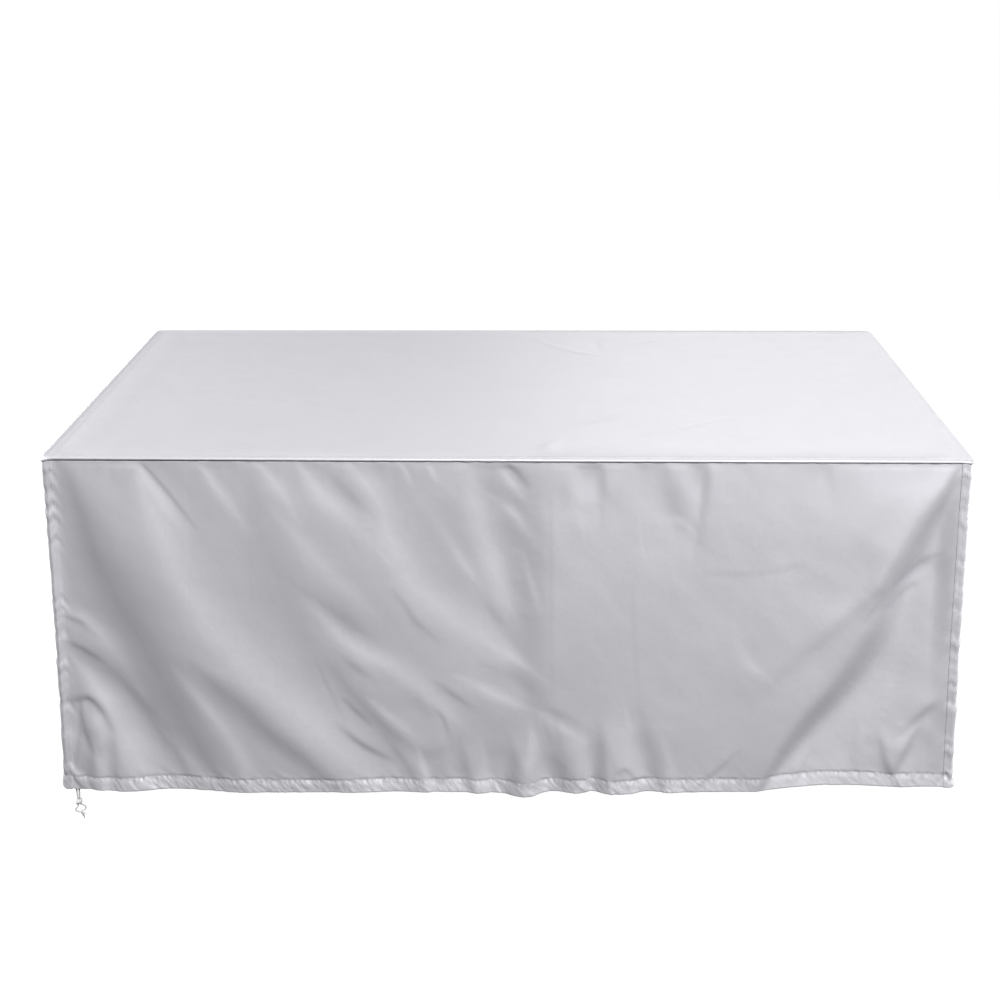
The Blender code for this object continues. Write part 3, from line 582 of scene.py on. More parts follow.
def relief(wall, side, drop, along, left, edge_zero, edge_full):
    """Outward displacement of a skirt panel's cloth from its flat face.

    side is -1..1 across, drop 0..1 down, along the place across in metres
    and left the height above the hem's edge in metres."""
    spec = WALLS[wall]
    seed, lean = spec["seed"], spec["lean"]
    out = FOLD_GAIN * fold_field(wall, side, drop)
    out = 0.045 * np.tanh(out / 45.0)
    fade_top = ease(0.004, 0.030, drop)
    out *= ease(0.0, 0.026, drop)
    z = -drop * SKIRT
    # soft unevenness of the hanging cloth
    out += fade_top * (0.0011 * gradient_noise(along / 0.13, z / 0.16, seed)
                       + 0.00045 * gradient_noise(along / 0.05 + z / 0.11,
                                                  z / 0.07, seed + 2)
                       + 0.00012 * gradient_noise(along / 0.016,
                                                  z / 0.022, seed + 3))
    half = LENGTH / 2 if wall in ("front", "back") else WIDTH / 2
    inset = (1.0 - np.abs(side)) * half
    out *= ease(edge_zero, edge_full, inset)
    # little gathers where the top seam draws the cloth
    below = drop * SKIRT
    out += (0.0011 * gradient_noise(along / 0.021 + 3.0 * below, below / 0.05,
                                    seed + 4)
            * np.exp(-(below / 0.030)) * ease(0.0, 0.006, below)
            * ease(0.0, 0.02, inset))
    # gathers above the hem's stitches and puckers in the drawn channel
    cols = np.array(spec["pucker"], float)
    strength = np.interp(508.0 + side * 444.0, cols[:, 0], cols[:, 1]) / 1000.0
    over = np.maximum(left - HEM, 0.0)
    out += (0.8 * strength * gradient_noise(along / 0.017 + lean * over / 0.03,
                                            over / 0.03, seed + 5)
            * np.exp(-over / 0.014) * ease(0.0, 0.004, over)
            * ease(0.0, 0.02, inset))
    inside = np.clip(left / HEM, 0.0, 1.0)
    slant = along + 0.55 * lean * left
    uneven = 0.55 + 0.9 * gradient_noise(along / 0.045, 0.3 + 0 * along, seed + 9)
    pleat = np.tanh(2.0 * gradient_noise(slant / 0.0165, left / 0.022, seed + 6))
    small = gradient_noise(slant / 0.0060, left / 0.013, seed + 7)
    # short puckers that the stitches draw just under their line
    drawn = gradient_noise(along / 0.0065, left / 0.02, seed + 10)
    out += (strength * (0.70 * uneven * pleat + 0.42 * small
                        + 0.70 * drawn * np.exp(-((left - HEM + 0.002) / 0.006) ** 2))
            * ease(0.0, 0.12, 1.0 - inside) * (left < HEM)
            * ease(0.0, 0.012, inset))
    # stitch line of the hem: a narrow trough, pinched at intervals
    pinch = 0.7 + 1.6 * gradient_noise(along / 0.0052, 0.5 + 0 * along, seed + 8)
    reach = np.where(left > HEM - 0.001, 0.0016, 0.0070)
    out -= 0.0012 * pinch * np.exp(-((left - HEM + 0.001) / reach) ** 2)
    return out


def seam_tuck(drop):
    """The skirt's cloth turns in under the top's lip along the seam."""
    below = drop * SKIRT
    return -0.0052 * (1.0 - ease(0.0008, 0.0036, below))


def long_outer(facing, x, drop, left):
    """Outward place of the front (-1) or back (+1) panel's outer side."""
    wall = "front" if facing < 0 else "back"
    half = short_face_out(drop) - CORNER_R - 0.0006
    side = np.clip(x * -facing / half, -1.0, 1.0)
    out = long_face_out(drop) + relief(wall, side, drop, x, left,
                                       np.where(x > 0, 0.003, -0.004),
                                       np.where(x > 0, 0.048, 0.010))
    corner = np.where(x > 0, 5, 6) + (0 if facing < 0 else 10)
    away = np.abs(half - np.abs(x)) + 0.009
    pk = np.where(x > 0,
                  corner_pucker(-drop * SKIRT, away, 101 if facing < 0 else 131),
                  corner_pucker(-drop * SKIRT, away, 111 if facing < 0 else 121))
    # the doubled cloth of the felled corner stands out a little
    stand = np.where(x > 0, 0.0008, 0.0026) * (1.0 - ease(0.004, 0.034, away))
    return (out + hem_swell(left) + (pk + stand) * ease(0.004, 0.03, drop)
            + seam_tuck(drop))


def hem_of(wall, side):
    return SKIRT + hem_drop(side, WALLS[wall]["hem"])


# ------------------------------------------------------------------ meshes
def add_object(name, mesh):
    obj = bpy.data.objects.new(name, mesh)
    bpy.context.scene.collection.objects.link(obj)
    return obj


def mesh_from(name, points, faces):
    mesh = bpy.data.meshes.new(name)
    mesh.from_pydata([tuple(p) for p in points], [], faces)
    mesh.validate()
    mesh.update()
    mesh.shade_smooth()
    return mesh


def stitch_rows(name, upper, lower, flip):
    """Sheet from a grid and, below it, a grid with twice the columns."""
    ru, n = upper.shape[:2]
    rl, m = lower.shape[:2]
    points = np.vstack([upper.reshape(-1, 3), lower.reshape(-1, 3)])
    base = ru * n
    faces = []
    for r in range(ru - 1):
        for c in range(n - 1):
            a = r * n + c
            faces.append((a, a + n, a + n + 1, a + 1))
    if m == n:
        for c in range(n - 1):
            a, b = (ru - 1) * n + c, base + c
            faces.append((a, b, b + 1, a + 1))
    else:
        for c in range(n - 1):
            a, b = (ru - 1) * n + c, base + 2 * c
            faces.append((a, b, b + 1, b + 2, a + 1))
    for r in range(rl - 1):
        for c in range(m - 1):
            a = base + r * m + c
            faces.append((a, a + m, a + m + 1, a + 1))
    if flip:
        faces = [tuple(reversed(f)) for f in faces]
    return mesh_from(name, points, faces)


def upper_drops(step):
    """Rows from the seam to just above the hem, in metres below the seam."""
    top = np.concatenate([[0.0], np.arange(0.0010, 0.0062, 0.00065),
                          np.arange(0.0070, 0.030, 0.0020)])
    end = SKIRT - HEM
    mid = np.linspace(0.031, end - 0.014, int((end - 0.045) / step))
    low = np.linspace(end - 0.014, end, 7)[1:]
    return np.concatenate([top, mid, low]) / SKIRT


HEM_OUT = np.concatenate([np.linspace(HEM, 0.0022, 19)[1:]])   # outer side
WRAP = np.linspace(0.0, math.pi, 7)[1:]                         # under the edge
HEM_IN = np.linspace(0.0022, HEM - 0.001, 11)[1:]               # inner side
HEM_R = 0.0021


def hem_rows(place, columns, radius=HEM_R):
    """Rows of the turned-up hem.  place(left) gives (outer point, unit out,
    z of the hem's edge) for each column at height left above the edge."""
    rows = []
    for left in HEM_OUT:
        point, out, edge_z = place(left)
        rows.append(point)
    point, out, edge_z = place(HEM_R)
    for ang in WRAP:
        p = point + out * ((math.cos(ang) - 1.0) * radius)[..., None] \
            if isinstance(radius, np.ndarray) else \
            point + out * ((math.cos(ang) - 1.0) * radius)
        p = p.copy()
        p[..., 2] = point[..., 2] - math.sin(ang) * HEM_R
        rows.append(p)
    for left in HEM_IN:
        q, out, edge_z = place(left)
        share = float(ease(HEM * 0.35, HEM - 0.001, left))
        back = 2.0 * radius * (1.0 - share) + 0.0007 * share
        q = q - out * (back[..., None] if isinstance(back, np.ndarray) else back)
        rows.append(q)
    return np.array(rows)


def long_panel(name, facing, pitch):
    wall = "front" if facing < 0 else "back"
    n = int(2 * LENGTH / 2 / pitch) | 1

    def point(s, drop, left):
        half = short_face_out(drop) - CORNER_R - 0.0006
        x = s * half
        side = s * -facing
        y = facing * long_outer(facing, x, drop, left)
        depth = hem_of(wall, side)
        return x, y, depth

    s = np.linspace(-1.0, 1.0, n)
    drops = upper_drops(0.0048)
    rows = []
    for d in drops:
        drop = np.full(n, d)
        depth = hem_of(wall, s * -facing)
        # keep the last upper row a fixed height above the hem's edge
        drop_true = d / drops[-1] * (1.0 - HEM / depth)
        x, y, _ = point(s, drop_true, depth * (1.0 - drop_true))
        rows.append(np.stack([x, y, -0.0003 - drop_true * depth], -1))
    upper = np.array(rows)
    s2 = np.linspace(-1.0, 1.0, 2 * n - 1)
    depth2 = hem_of(wall, s2 * -facing)

    def place(left):
        drop = 1.0 - left / depth2
        x, y, _ = point(s2, drop, np.full(s2.shape, left))
        p = np.stack([x, y, -0.0003 - drop * depth2], -1)
        out = np.zeros_like(p)
        out[:, 1] = facing
        return p, out, -0.0003 - depth2

    lower = hem_rows(place, 2 * n - 1)
    mesh = stitch_rows(name, upper, lower, flip=facing > 0)
    return add_object(name, mesh)


LAP_OFF = 0.0010          # the felled lap stands this proud of the long panel


def end_panel(name, facing, pitch):
    """Left (-1) or right (+1) panel with its laps felled round both corners."""
    wall = "left" if facing < 0 else "right"
    hem_rel = WALLS[wall]["hem"]
    n = int(WIDTH / pitch / 2) * 2
    # section stations: kind, value; mirrored for the far end
    wrap = [("wrap", a) for a in (math.pi, math.pi * 0.75, math.pi / 2,
                                  math.pi / 4)]
    lap = [("lap", u) for u in np.linspace(1.0, 0.0, 7)[:-1]]
    arc = [("arc", u) for u in np.linspace(0.0, 1.0, 8)[:-1]]
    near = wrap + lap + arc

    def section(count):
        flat = [("flat", u) for u in np.linspace(-1.0, 1.0, count)]
        return ([(k, v, -1) for k, v in near] + [(k, v, 0) for k, v in flat]
                + [(k, v, 1) for k, v in reversed(near)])

    def row(stations, drop_of, left_of):
        """Points, outward unit vectors and edge heights for one row.

        drop_of(depth) gives each column its drop, left_of(depth) its height
        above the hem's edge, from the depth of the hem there."""
        pts = np.zeros((len(stations), 3))
        outs = np.zeros((len(stations), 3))
        edges = np.zeros(len(stations))
        radii = np.full(len(stations), HEM_R)
        kinds = np.array([s[0] for s in stations])
        vals = np.array([s[1] for s in stations], float)
        ends = np.array([s[2] for s in stations])
        # the end panel's own hem depth along its straight part
        flat = kinds == "flat"
        depth = np.full(len(stations), SKIRT, float)
        depth[flat] = hem_of(wall, vals[flat])
        for end in (-1, 1):
            # end: -1 is the front corner, +1 the back corner
            own = float(hem_of(wall, np.array(-end * 1.0 if facing < 0
                                              else end * 1.0)))
            if end < 0:
                lap_wall, lap_side = "front", facing
            else:
                lap_wall, lap_side = "back", -facing
            lap_depth = float(hem_of(lap_wall, np.array(lap_side * 0.985)))
            on = ends == end
            share = np.where(kinds == "arc", vals, 0.0)
            depth[on] = (lap_depth + (own - lap_depth) * share)[on]
        drop = drop_of(depth)
        left = left_of(depth)
        short_out = short_face_out(drop)
        long_out = long_face_out(drop)
        half = long_out + LAP_OFF - CORNER_R
        z = -0.0003 - drop * depth
        # straight part: vals run -1..1 in the panel's own side sense
        side = vals
        y_flat = side * half * (-1.0 if facing < 0 else 1.0)
        out_flat = (short_out + relief(wall, np.where(flat, side, 1.0), drop,
                                       y_flat, left, 0.0, 0.030)
                    + hem_swell(left) + seam_tuck(drop))
        pts[flat, 0] = facing * out_flat[flat]
        pts[flat, 1] = y_flat[flat]
        outs[flat, 0] = facing
        for end in (-1, 1):
            long_facing = end
            seed = (131 if end > 0 else 101) if facing > 0 else \
                (121 if end > 0 else 111)
            on = ends == end
            cx, cy = short_out - CORNER_R, half
            # displacement of the lap: it lies on the long panel's surface
            u = np.where(kinds == "lap", vals, np.where(kinds == "wrap", 1.0, 0.0))
            x_lap = facing * (cx - LAP * u)
            surf = long_outer(long_facing, x_lap, drop, left)
            d_lap = surf - long_out
            lap_on = on & (kinds == "lap")
            pts[lap_on, 0] = x_lap[lap_on]
            pts[lap_on, 1] = end * (long_out + d_lap + LAP_OFF)[lap_on]
            outs[lap_on, 1] = end
            wrap_on = on & (kinds == "wrap")
            r = LAP_OFF / 2 - 0.0001
            pts[wrap_on, 0] = (x_lap - facing * r * np.sin(vals))[wrap_on]
            pts[wrap_on, 1] = end * (long_out + d_lap + LAP_OFF - r
                                     + r * np.cos(vals))[wrap_on]
            outs[wrap_on, 0] = 0.0
            outs[wrap_on, 1] = end
            arc_on = on & (kinds == "arc")
            ang = math.pi / 2 * (1.0 - vals)
            away = 0.002 + 0.016 * vals
            pk = corner_pucker(-drop * SKIRT, away, seed) * ease(0.004, 0.02, drop)
            own_d = hem_swell(left) + pk + seam_tuck(drop)
            d_arc = d_lap * (1.0 - ease(0.0, 1.0, vals)) \
                + own_d * ease(0.0, 1.0, vals)
            rad = CORNER_R + d_arc
            pts[arc_on, 0] = (facing * (cx + rad * np.cos(ang)))[arc_on]
            pts[arc_on, 1] = (end * (cy + rad * np.sin(ang)))[arc_on]
            outs[arc_on, 0] = (facing * np.cos(ang))[arc_on]
            outs[arc_on, 1] = (end * np.sin(ang))[arc_on]
            radii[lap_on] = 0.00042
            radii[wrap_on] = 0.0
            radii[arc_on] = (0.00042 + (HEM_R - 0.00042)
                             * ease(0.2, 1.0, vals))[arc_on]
            # the corner's pucker runs on a little way into the end face
            if end < 0:
                edge_dist = (y_flat - (-half))
            else:
                edge_dist = (half - y_flat)
            reach = corner_pucker(-drop * SKIRT, 0.018 + edge_dist, seed)
            pts[flat, 0] += (facing * reach * ease(0.004, 0.02, drop))[flat]
        pts[:, 2] = z
        edges = -0.0003 - depth
        return pts, outs, edges, radii

    s1 = section(n + 1)
    drops = upper_drops(0.0056)
    rows = []
    for d in drops:
        share = d / drops[-1]
        pts, outs, edges, _ = row(
            s1, lambda depth: share * (1.0 - HEM / depth),
            lambda depth: depth * (1.0 - share * (1.0 - HEM / depth)))
        rows.append(pts)
    upper = np.array(rows)

    def place(left):
        pts, outs, edges, _ = row(s1, lambda depth: 1.0 - left / depth,
                                  lambda depth: np.full(depth.shape, left))
        return pts, outs, edges

    radii = row(s1, lambda depth: np.ones(depth.shape),
                lambda depth: np.zeros(depth.shape))[3]
    lower = hem_rows(place, len(s1), radii)
    # at the straight part's columns y runs from front to back or back to
    # front: put all columns in one running order before joining the faces
    order = section_order(s1, facing)
    upper, lower = upper[:, order], lower[:, order]
    mesh = stitch_rows(name, upper, lower, flip=facing > 0)
    return add_object(name, mesh)


def section_order(stations, facing):
    """Front lap first, then the straight part front to back, then the back."""
    first = [i for i, s in enumerate(stations) if s[2] == -1]
    flat = [i for i, s in enumerate(stations) if s[2] == 0]
    last = [i for i, s in enumerate(stations) if s[2] == 1]
    if facing < 0:
        flat = flat[::-1]
    # the left panel's own side sense has its front at +1
    return np.array(first + flat + last)


# ------------------------------------------------------------------ top
def ridge(x, y, stations, kind="ridge"):
    """Soft crease along stations (x, y, half width, height in mm), metres."""
    line = smooth_line(stations, 6)
    out = np.zeros(x.shape)
    far = 4.0 * max(s[2] for s in stations)
    near = ((x > line[:, 0].min() - far) & (x < line[:, 0].max() + far)
            & (y > line[:, 1].min() - far) & (y < line[:, 1].max() + far))
    if not near.any():
        return out
    qx0, qy0 = x[near][:, None], y[near][:, None]
    a, b = line[:-1], line[1:]
    run = b[:, :2] - a[:, :2]
    length2 = (run ** 2).sum(1)
    t = np.clip(((qx0 - a[:, 0]) * run[:, 0] + (qy0 - a[:, 1]) * run[:, 1])
                / length2, 0.0, 1.0)
    dist = np.hypot(qx0 - a[:, 0] - t * run[:, 0], qy0 - a[:, 1] - t * run[:, 1])
    best = dist.argmin(1)
    rows = np.arange(len(best))
    share = t[rows, best]
    width = a[best, 2] + share * (b[best, 2] - a[best, 2])
    high = a[best, 3] + share * (b[best, 3] - a[best, 3])
    out[near] = high / 1000.0 * np.exp(-(dist[rows, best] / width) ** 2)
    return out


TOP_CREASES = [
    [(0.050, 0.400, 0.006, 0.5), (0.100, 0.330, 0.010, 2.0),
     (0.156, 0.274, 0.010, 2.2), (0.212, 0.249, 0.008, 0.6)],
    [(0.204, 0.410, 0.008, -0.6), (0.196, 0.340, 0.012, -2.0),
     (0.206, 0.275, 0.008, -0.6)],
    [(0.253, 0.330, 0.008, 0.5), (0.310, 0.368, 0.010, 1.6),
     (0.375, 0.391, 0.008, 0.4)],
    [(0.132, -0.272, 0.008, 0.6), (0.188, -0.222, 0.012, 2.2),
     (0.246, -0.178, 0.008, 0.6)],
    [(0.275, -0.327, 0.005, 0.4), (0.380, -0.255, 0.007, 1.3),
     (0.488, -0.179, 0.005, 0.4)],
    [(0.070, -0.455, 0.008, 0.8), (0.082, -0.400, 0.014, 2.2),
     (0.106, -0.350, 0.008, 0.5)],
    [(0.110, -0.440, 0.006, 0.5), (0.160, -0.405, 0.009, 1.4),
     (0.215, -0.380, 0.006, 0.4)],
    [(0.700, 0.080, 0.010, 0.3), (0.755, 0.121, 0.012, 1.2),
     (0.800, 0.180, 0.010, 0.3)],
    [(-0.346, 0.288, 0.008, 0.3), (-0.290, 0.262, 0.010, 1.2),
     (-0.232, 0.246, 0.008, 0.3)],
    [(-0.700, -0.120, 0.010, 0.2), (-0.560, -0.100, 0.014, 0.9),
     (-0.400, -0.125, 0.010, 0.2)],
]


def top_height(x, y):
    """Height of the stretched top between its bands, metres above z = 0."""
    z = 0.0016 + 0 * x
    for stations in TOP_CREASES:
        z = z + ridge(x, y, stations)
    z += (0.0009 * gradient_noise(x / 0.16, y / 0.14, 201)
          + 0.0003 * gradient_noise(x / 0.05 + y / 0.09, y / 0.05, 202)
          + 0.00008 * gradient_noise(x / 0.017, y / 0.017, 203))
    # a slight sag towards the middle of each half and fullness at the rim
    rim = np.minimum(LENGTH / 2 - np.abs(x), WIDTH / 2 - np.abs(y))
    z += 0.0011 * gradient_noise(x / 0.034, y / 0.034, 204) * np.exp(-rim / 0.035)
    z += 0.0012 * np.exp(-((rim - 0.055) / 0.03) ** 2)
    return z


# the edge band's section: how far out from the seam line, height, radius,
# and how strongly the band's gathers show there
BAND = [(-0.0340, 0.0016, 0.0005, 0.10), (-0.0290, 0.0014, 0.0010, 0.20),
        (-0.0255, 0.0010, 0.0015, 0.35), (-0.0238, 0.0006, 0.0020, 0.25),
        (-0.0222, 0.0002, 0.0020, 0.10), (-0.0208, 0.0004, 0.0022, 0.15),
        (-0.0190, 0.0011, 0.0026, 0.45), (-0.0160, 0.0022, 0.0032, 0.90),
        (-0.0120, 0.0032, 0.0038, 1.00), (-0.0080, 0.0037, 0.0044, 1.00),
        (-0.0050, 0.0038, 0.0050, 0.90), (-0.0030, 0.0037, 0.0056, 0.80),
        (-0.0012, 0.0035, 0.0060, 0.70), (0.0004, 0.0031, 0.0064, 0.65),
        (0.0016, 0.0025, 0.0070, 0.60), (0.0024, 0.0016, 0.0074, 0.60),
        (0.0028, 0.0004, 0.0078, 0.60), (0.0028, -0.0007, 0.0078, 0.60),
        (0.0023, -0.0014, 0.0074, 0.55), (0.0010, -0.0017, 0.0070, 0.50),
        (0.0000, -0.0015, 0.0068, 0.40), (-0.0008, -0.0011, 0.0066, 0.20),
        (-0.0014, -0.0007, 0.0064, 0.10), (-0.0022, -0.0004, 0.0062, 0.0),
        (-0.0050, -0.0002, 0.0060, 0.0)]


def band_share(x, y):
    """The band's step shows along the front and is nearly flat elsewhere."""
    front = ease(0.40, 0.455, -y) * ease(LENGTH / 2 - 0.004, LENGTH / 2 - 0.10,
                                         np.abs(x))
    return 0.22 + 0.78 * front


def band_ring(grow, z, radius, long_steps, short_steps, corner_steps):
    """Closed ring of points, anticlockwise from the right back corner."""
    hx, hy = LENGTH / 2 + END_EASE - 0.0004 + grow, WIDTH / 2 + grow
    pts, run = [], []
    corners = [(hx - radius, hy - radius, 0), (-hx + radius, hy - radius, 90),
               (-hx + radius, -hy + radius, 180), (hx - radius, -hy + radius, 270)]
    normals = []
    for i, (cx, cy, start) in enumerate(corners):
        for k in range(corner_steps + 1):
            ang = math.radians(start + 90 * k / corner_steps)
            pts.append((cx + radius * math.cos(ang), cy + radius * math.sin(ang)))
            normals.append((math.cos(ang), math.sin(ang)))
        nx, ny, nstart = corners[(i + 1) % 4]
        ax, ay = pts[-1]
        ang = math.radians(nstart)
        bx, by = nx + radius * math.cos(ang), ny + radius * math.sin(ang)
        steps = long_steps if i % 2 == 0 else short_steps
        for k in range(1, steps):
            pts.append((ax + (bx - ax) * k / steps, ay + (by - ay) * k / steps))
            normals.append((math.cos(ang), math.sin(ang)))
    pts = np.array(pts)
    return pts, np.array(normals)


def front_gather(x, y):
    """How much the band gathers, by place round the rim."""
    front = ease(0.30, 0.46, -y)
    mid = np.exp(-((x + 0.005) / 0.095) ** 2)
    return 0.55 + front * (0.75 * mid + 0.10 * ease(0.75, 0.2, x))


def top_panel(name):
    cell = 0.006
    edge = 0.0400
    nx = int(round((LENGTH - 2 * edge) / cell / 2)) * 2
    ny = int(round((WIDTH - 2 * edge) / cell / 2)) * 2
    hx, hy = LENGTH / 2 - edge, WIDTH / 2 - edge
    gx, gy = np.meshgrid(np.linspace(-hx, hx, nx + 1), np.linspace(-hy, hy, ny + 1))
    gz = top_height(gx, gy)
    points = [np.stack([gx, gy, gz], -1).reshape(-1, 3)]
    faces = []
    m = nx + 1
    for r in range(ny):
        for c in range(nx):
            a = r * m + c
            faces.append((a, a + 1, a + 1 + m, a + m))
    # the grid's border, anticlockwise from the right back corner
    border = ([(ny, c) for c in range(nx, 0, -1)]
              + [(r, 0) for r in range(ny, 0, -1)]
              + [(0, c) for c in range(0, nx)]
              + [(r, nx) for r in range(0, ny)])
    border = [r * m + c for r, c in border]
    corner_at = {0: 0, 1: nx, 2: nx + ny, 3: 2 * nx + ny}
    steps = 8
    long_steps, short_steps = 2 * nx, 2 * ny
    rings = []
    base = len(points[0])
    for grow, z, radius, gather in BAND:
        xy, nrm = band_ring(grow, z, radius, long_steps, short_steps, steps)
        x, y = xy[:, 0], xy[:, 1]
        # distance walked round the rim, for the gathers
        around = np.where(np.abs(nrm[:, 1]) > 0.7, x, y + 5.0)
        amount = front_gather(x, y) * gather
        wave = (0.60 * gradient_noise(around / 0.0115, grow / 0.03 + 0 * x, 211)
                + 0.45 * gradient_noise(around / 0.024, grow / 0.05 + 0 * x, 212)
                + 0.30 * gradient_noise(around / 0.0065, grow / 0.02 + 0 * x, 213))
        lift = 0.0015 * amount * wave
        step = z - 0.0016 if grow < -0.004 and z > 0 else 0.0
        level = z + lift - step * (1.0 - band_share(x, y))
        if grow < -0.0230:
            share = float(ease(-0.040, -0.0235, grow))
            level = level + (top_height(x, y) - 0.0016) * (1.0 - share)
        # below the rim the gathers move the lip in and out and up and down
        push = np.zeros_like(x)
        if z < 0.0013 and grow > -0.003:
            push = 0.0006 * amount * wave
            level = z + 0.0011 * amount * (
                gradient_noise(around / 0.019, 0 * x + 3.0, 214)
                + 0.5 * gradient_noise(around / 0.055, 0 * x, 215)) \
                * float(ease(0.0013, -0.0012, z))
        if gather <= 0.2 and z < 0:
            push = push * 0.2
            level = np.full_like(x, z)
        # the seam rides a little higher towards the front's left end
        level = level + (0.0013 * ease(0.15, -0.85, x) * ease(0.40, 0.455, -y)
                         * float(ease(-0.034, -0.020, grow)))
        # at the corners the lip rolls down over the skirt
        away = np.hypot(LENGTH / 2 + END_EASE - np.abs(x), WIDTH / 2 - np.abs(y))
        roll = np.where((x < 0) & (y < 0), 0.0042, 0.0016)
        level = level - roll * np.exp(-(away / 0.013) ** 2) \
            * float(ease(-0.006, 0.0005, grow) if z > 0 else 1.0)
        rings.append(np.stack([x + nrm[:, 0] * push, y + nrm[:, 1] * push, level], -1))
    count = len(rings[0])
    for ring in rings:
        points.append(ring)
    # inner border to first ring: one border point for every second ring point
    first = base
    index = 0
    nb = len(border)
    sides = [nx, ny, nx, ny]
    b = 0
    for i in range(4):
        corner = border[b % nb]
        for k in range(steps):
            faces.append((corner, first + index + k, first + index + k + 1))
        index += steps
        for k in range(sides[i]):
            p, q = border[(b + k) % nb], border[(b + k + 1) % nb]
            i0, i1, i2 = index + 2 * k, index + 2 * k + 1, index + 2 * k + 2
            faces.append((p, first + i0 % count, first + i1 % count,
                          first + i2 % count, q))
        index += 2 * sides[i]
        b += sides[i]
    for r in range(len(rings) - 1):
        a0, b0 = base + r * count, base + (r + 1) * count
        for k in range(count):
            k1 = (k + 1) % count
            faces.append((a0 + k, b0 + k, b0 + k1, a0 + k1))
    mesh = mesh_from(name, np.vstack(points), faces)
    return add_object(name, mesh)


# ------------------------------------------------------------------ stitches
def stitch_mesh(name, centres, along, out, length, radius):
    """Many small pointed stitches, one at each centre, as one mesh."""
    c, a, o = (np.asarray(v, float) for v in (centres, along, out))
    a /= np.linalg.norm(a, axis=1)[:, None]
    across = np.cross(a, o)
    across /= np.linalg.norm(across, axis=1)[:, None]
    up = np.cross(across, a)
    verts = np.stack([c - a * length / 2, c + a * length / 2,
                      c + across * radius, c - across * radius,
                      c + up * radius, c - up * radius], 1).reshape(-1, 3)
    tri = [(0, 4, 2), (0, 2, 5), (0, 5, 3), (0, 3, 4),
           (1, 2, 4), (1, 5, 2), (1, 3, 5), (1, 4, 3)]
    faces = [tuple(6 * i + k for k in t) for i in range(len(c)) for t in tri]
    return add_object(name, mesh_from(name, verts, faces))


def tangents(points):
    """Running direction at each of a row of points."""
    t = np.gradient(points, axis=0)
    return t / np.linalg.norm(t, axis=1)[:, None]


def long_panel_stitches(name, facing):
    wall = "front" if facing < 0 else "back"
    x = np.arange(-0.845, 0.845, 0.0033)
    pts = []
    left = np.full(x.shape, HEM - 0.001)
    for _ in range(1):
        side0 = np.clip(x * -facing / (LENGTH / 2 + 0.014), -1, 1)
        depth = hem_of(wall, side0)
        drop = 1.0 - left / depth
        y = facing * (long_outer(facing, x, drop, left) + 0.00005)
        pts = np.stack([x, y, -0.0003 - drop * depth], -1)
    out = np.tile(np.array([0.0, facing, 0.0]), (len(x), 1))
    return stitch_mesh(name, pts, tangents(pts), out, 0.0024, 0.00030)


def end_panel_stitches(name, facing):
    """Hem stitches across the end, and the seam's row down each lap."""
    wall = "left" if facing < 0 else "right"
    groups = []
    y = np.arange(-0.455, 0.456, 0.0033)
    side = y / 0.465 * (-1.0 if facing < 0 else 1.0)
    left = np.full(y.shape, HEM - 0.001)
    depth = hem_of(wall, side)
    drop = 1.0 - left / depth
    x = facing * (short_face_out(drop)
                  + relief(wall, side, drop, y, left, 0.0, 0.030)
                  + hem_swell(left) + 0.00005)
    pts = np.stack([x, y, -0.0003 - drop * depth], -1)
    groups.append((pts, np.tile(np.array([facing, 0.0, 0.0]), (len(y), 1))))
    for end in (-1, 1):
        lap_wall = "front" if end < 0 else "back"
        lap_side = facing if end < 0 else -facing
        depth = float(hem_of(lap_wall, np.array(lap_side * 0.985)))
        drop = np.arange(0.012, 0.985, 0.0033 / depth)
        left = (1.0 - drop) * depth
        inset = LAP * (0.20 if facing > 0 else 0.55)
        x = facing * (short_face_out(drop) - CORNER_R - inset)
        yy = end * (long_outer(end, x, drop, left) + LAP_OFF)
        pts = np.stack([x, yy, -0.0003 - drop * depth], -1)
        groups.append((pts, np.tile(np.array([0.0, end, 0.0]), (len(drop), 1))))
    pts = np.vstack([g[0] for g in groups])
    tan = np.vstack([tangents(g[0]) for g in groups])
    out = np.vstack([g[1] for g in groups])
    # the left seam's stitches are drawn deep into the cloth and hardly show
    lap = 0.00030 if facing > 0 else 0.00014
    radius = np.concatenate([np.full(len(groups[0][0]), 0.00030)]
                            + [np.full(len(g[0]), lap) for g in groups[1:]])
    return stitch_mesh(name, pts, tan, out, 0.0024, radius[:, None])


def top_stitches(name):
    """The seam row along the inner edge of the top's folded band."""
    step = 0.0033
    hx, hy = LENGTH / 2 - 0.0217, WIDTH / 2 - 0.0217
    pts = []
    xs = np.arange(-hx + 0.004, hx - 0.004, step)
    ys = np.arange(-hy + 0.004, hy - 0.004, step)
    rows = [np.stack([xs, 0 * xs - hy], -1), np.stack([xs, 0 * xs + hy], -1),
            np.stack([0 * ys - hx, ys], -1), np.stack([0 * ys + hx, ys], -1)]
    all_p, all_t = [], []
    for row in rows:
        z = np.full(len(row), 0.00055)
        p = np.column_stack([row, z])
        all_p.append(p)
        all_t.append(tangents(p))
    p, t = np.vstack(all_p), np.vstack(all_t)
    out = np.tile(np.array([0.0, 0.0, 1.0]), (len(p), 1))
    return stitch_mesh(name, p, t, out, 0.0024, 0.00032)


# ------------------------------------------------------------------ tie
TIE = (-0.8533, -(WIDTH / 2 + 0.0002 + FACE_FLARE) + 0.0007, -(SKIRT + 0.0128))


def tie_point(dx, dy, dz):
    return (TIE[0] + dx / 1000.0, TIE[1] + dy / 1000.0, TIE[2] + dz / 1000.0)


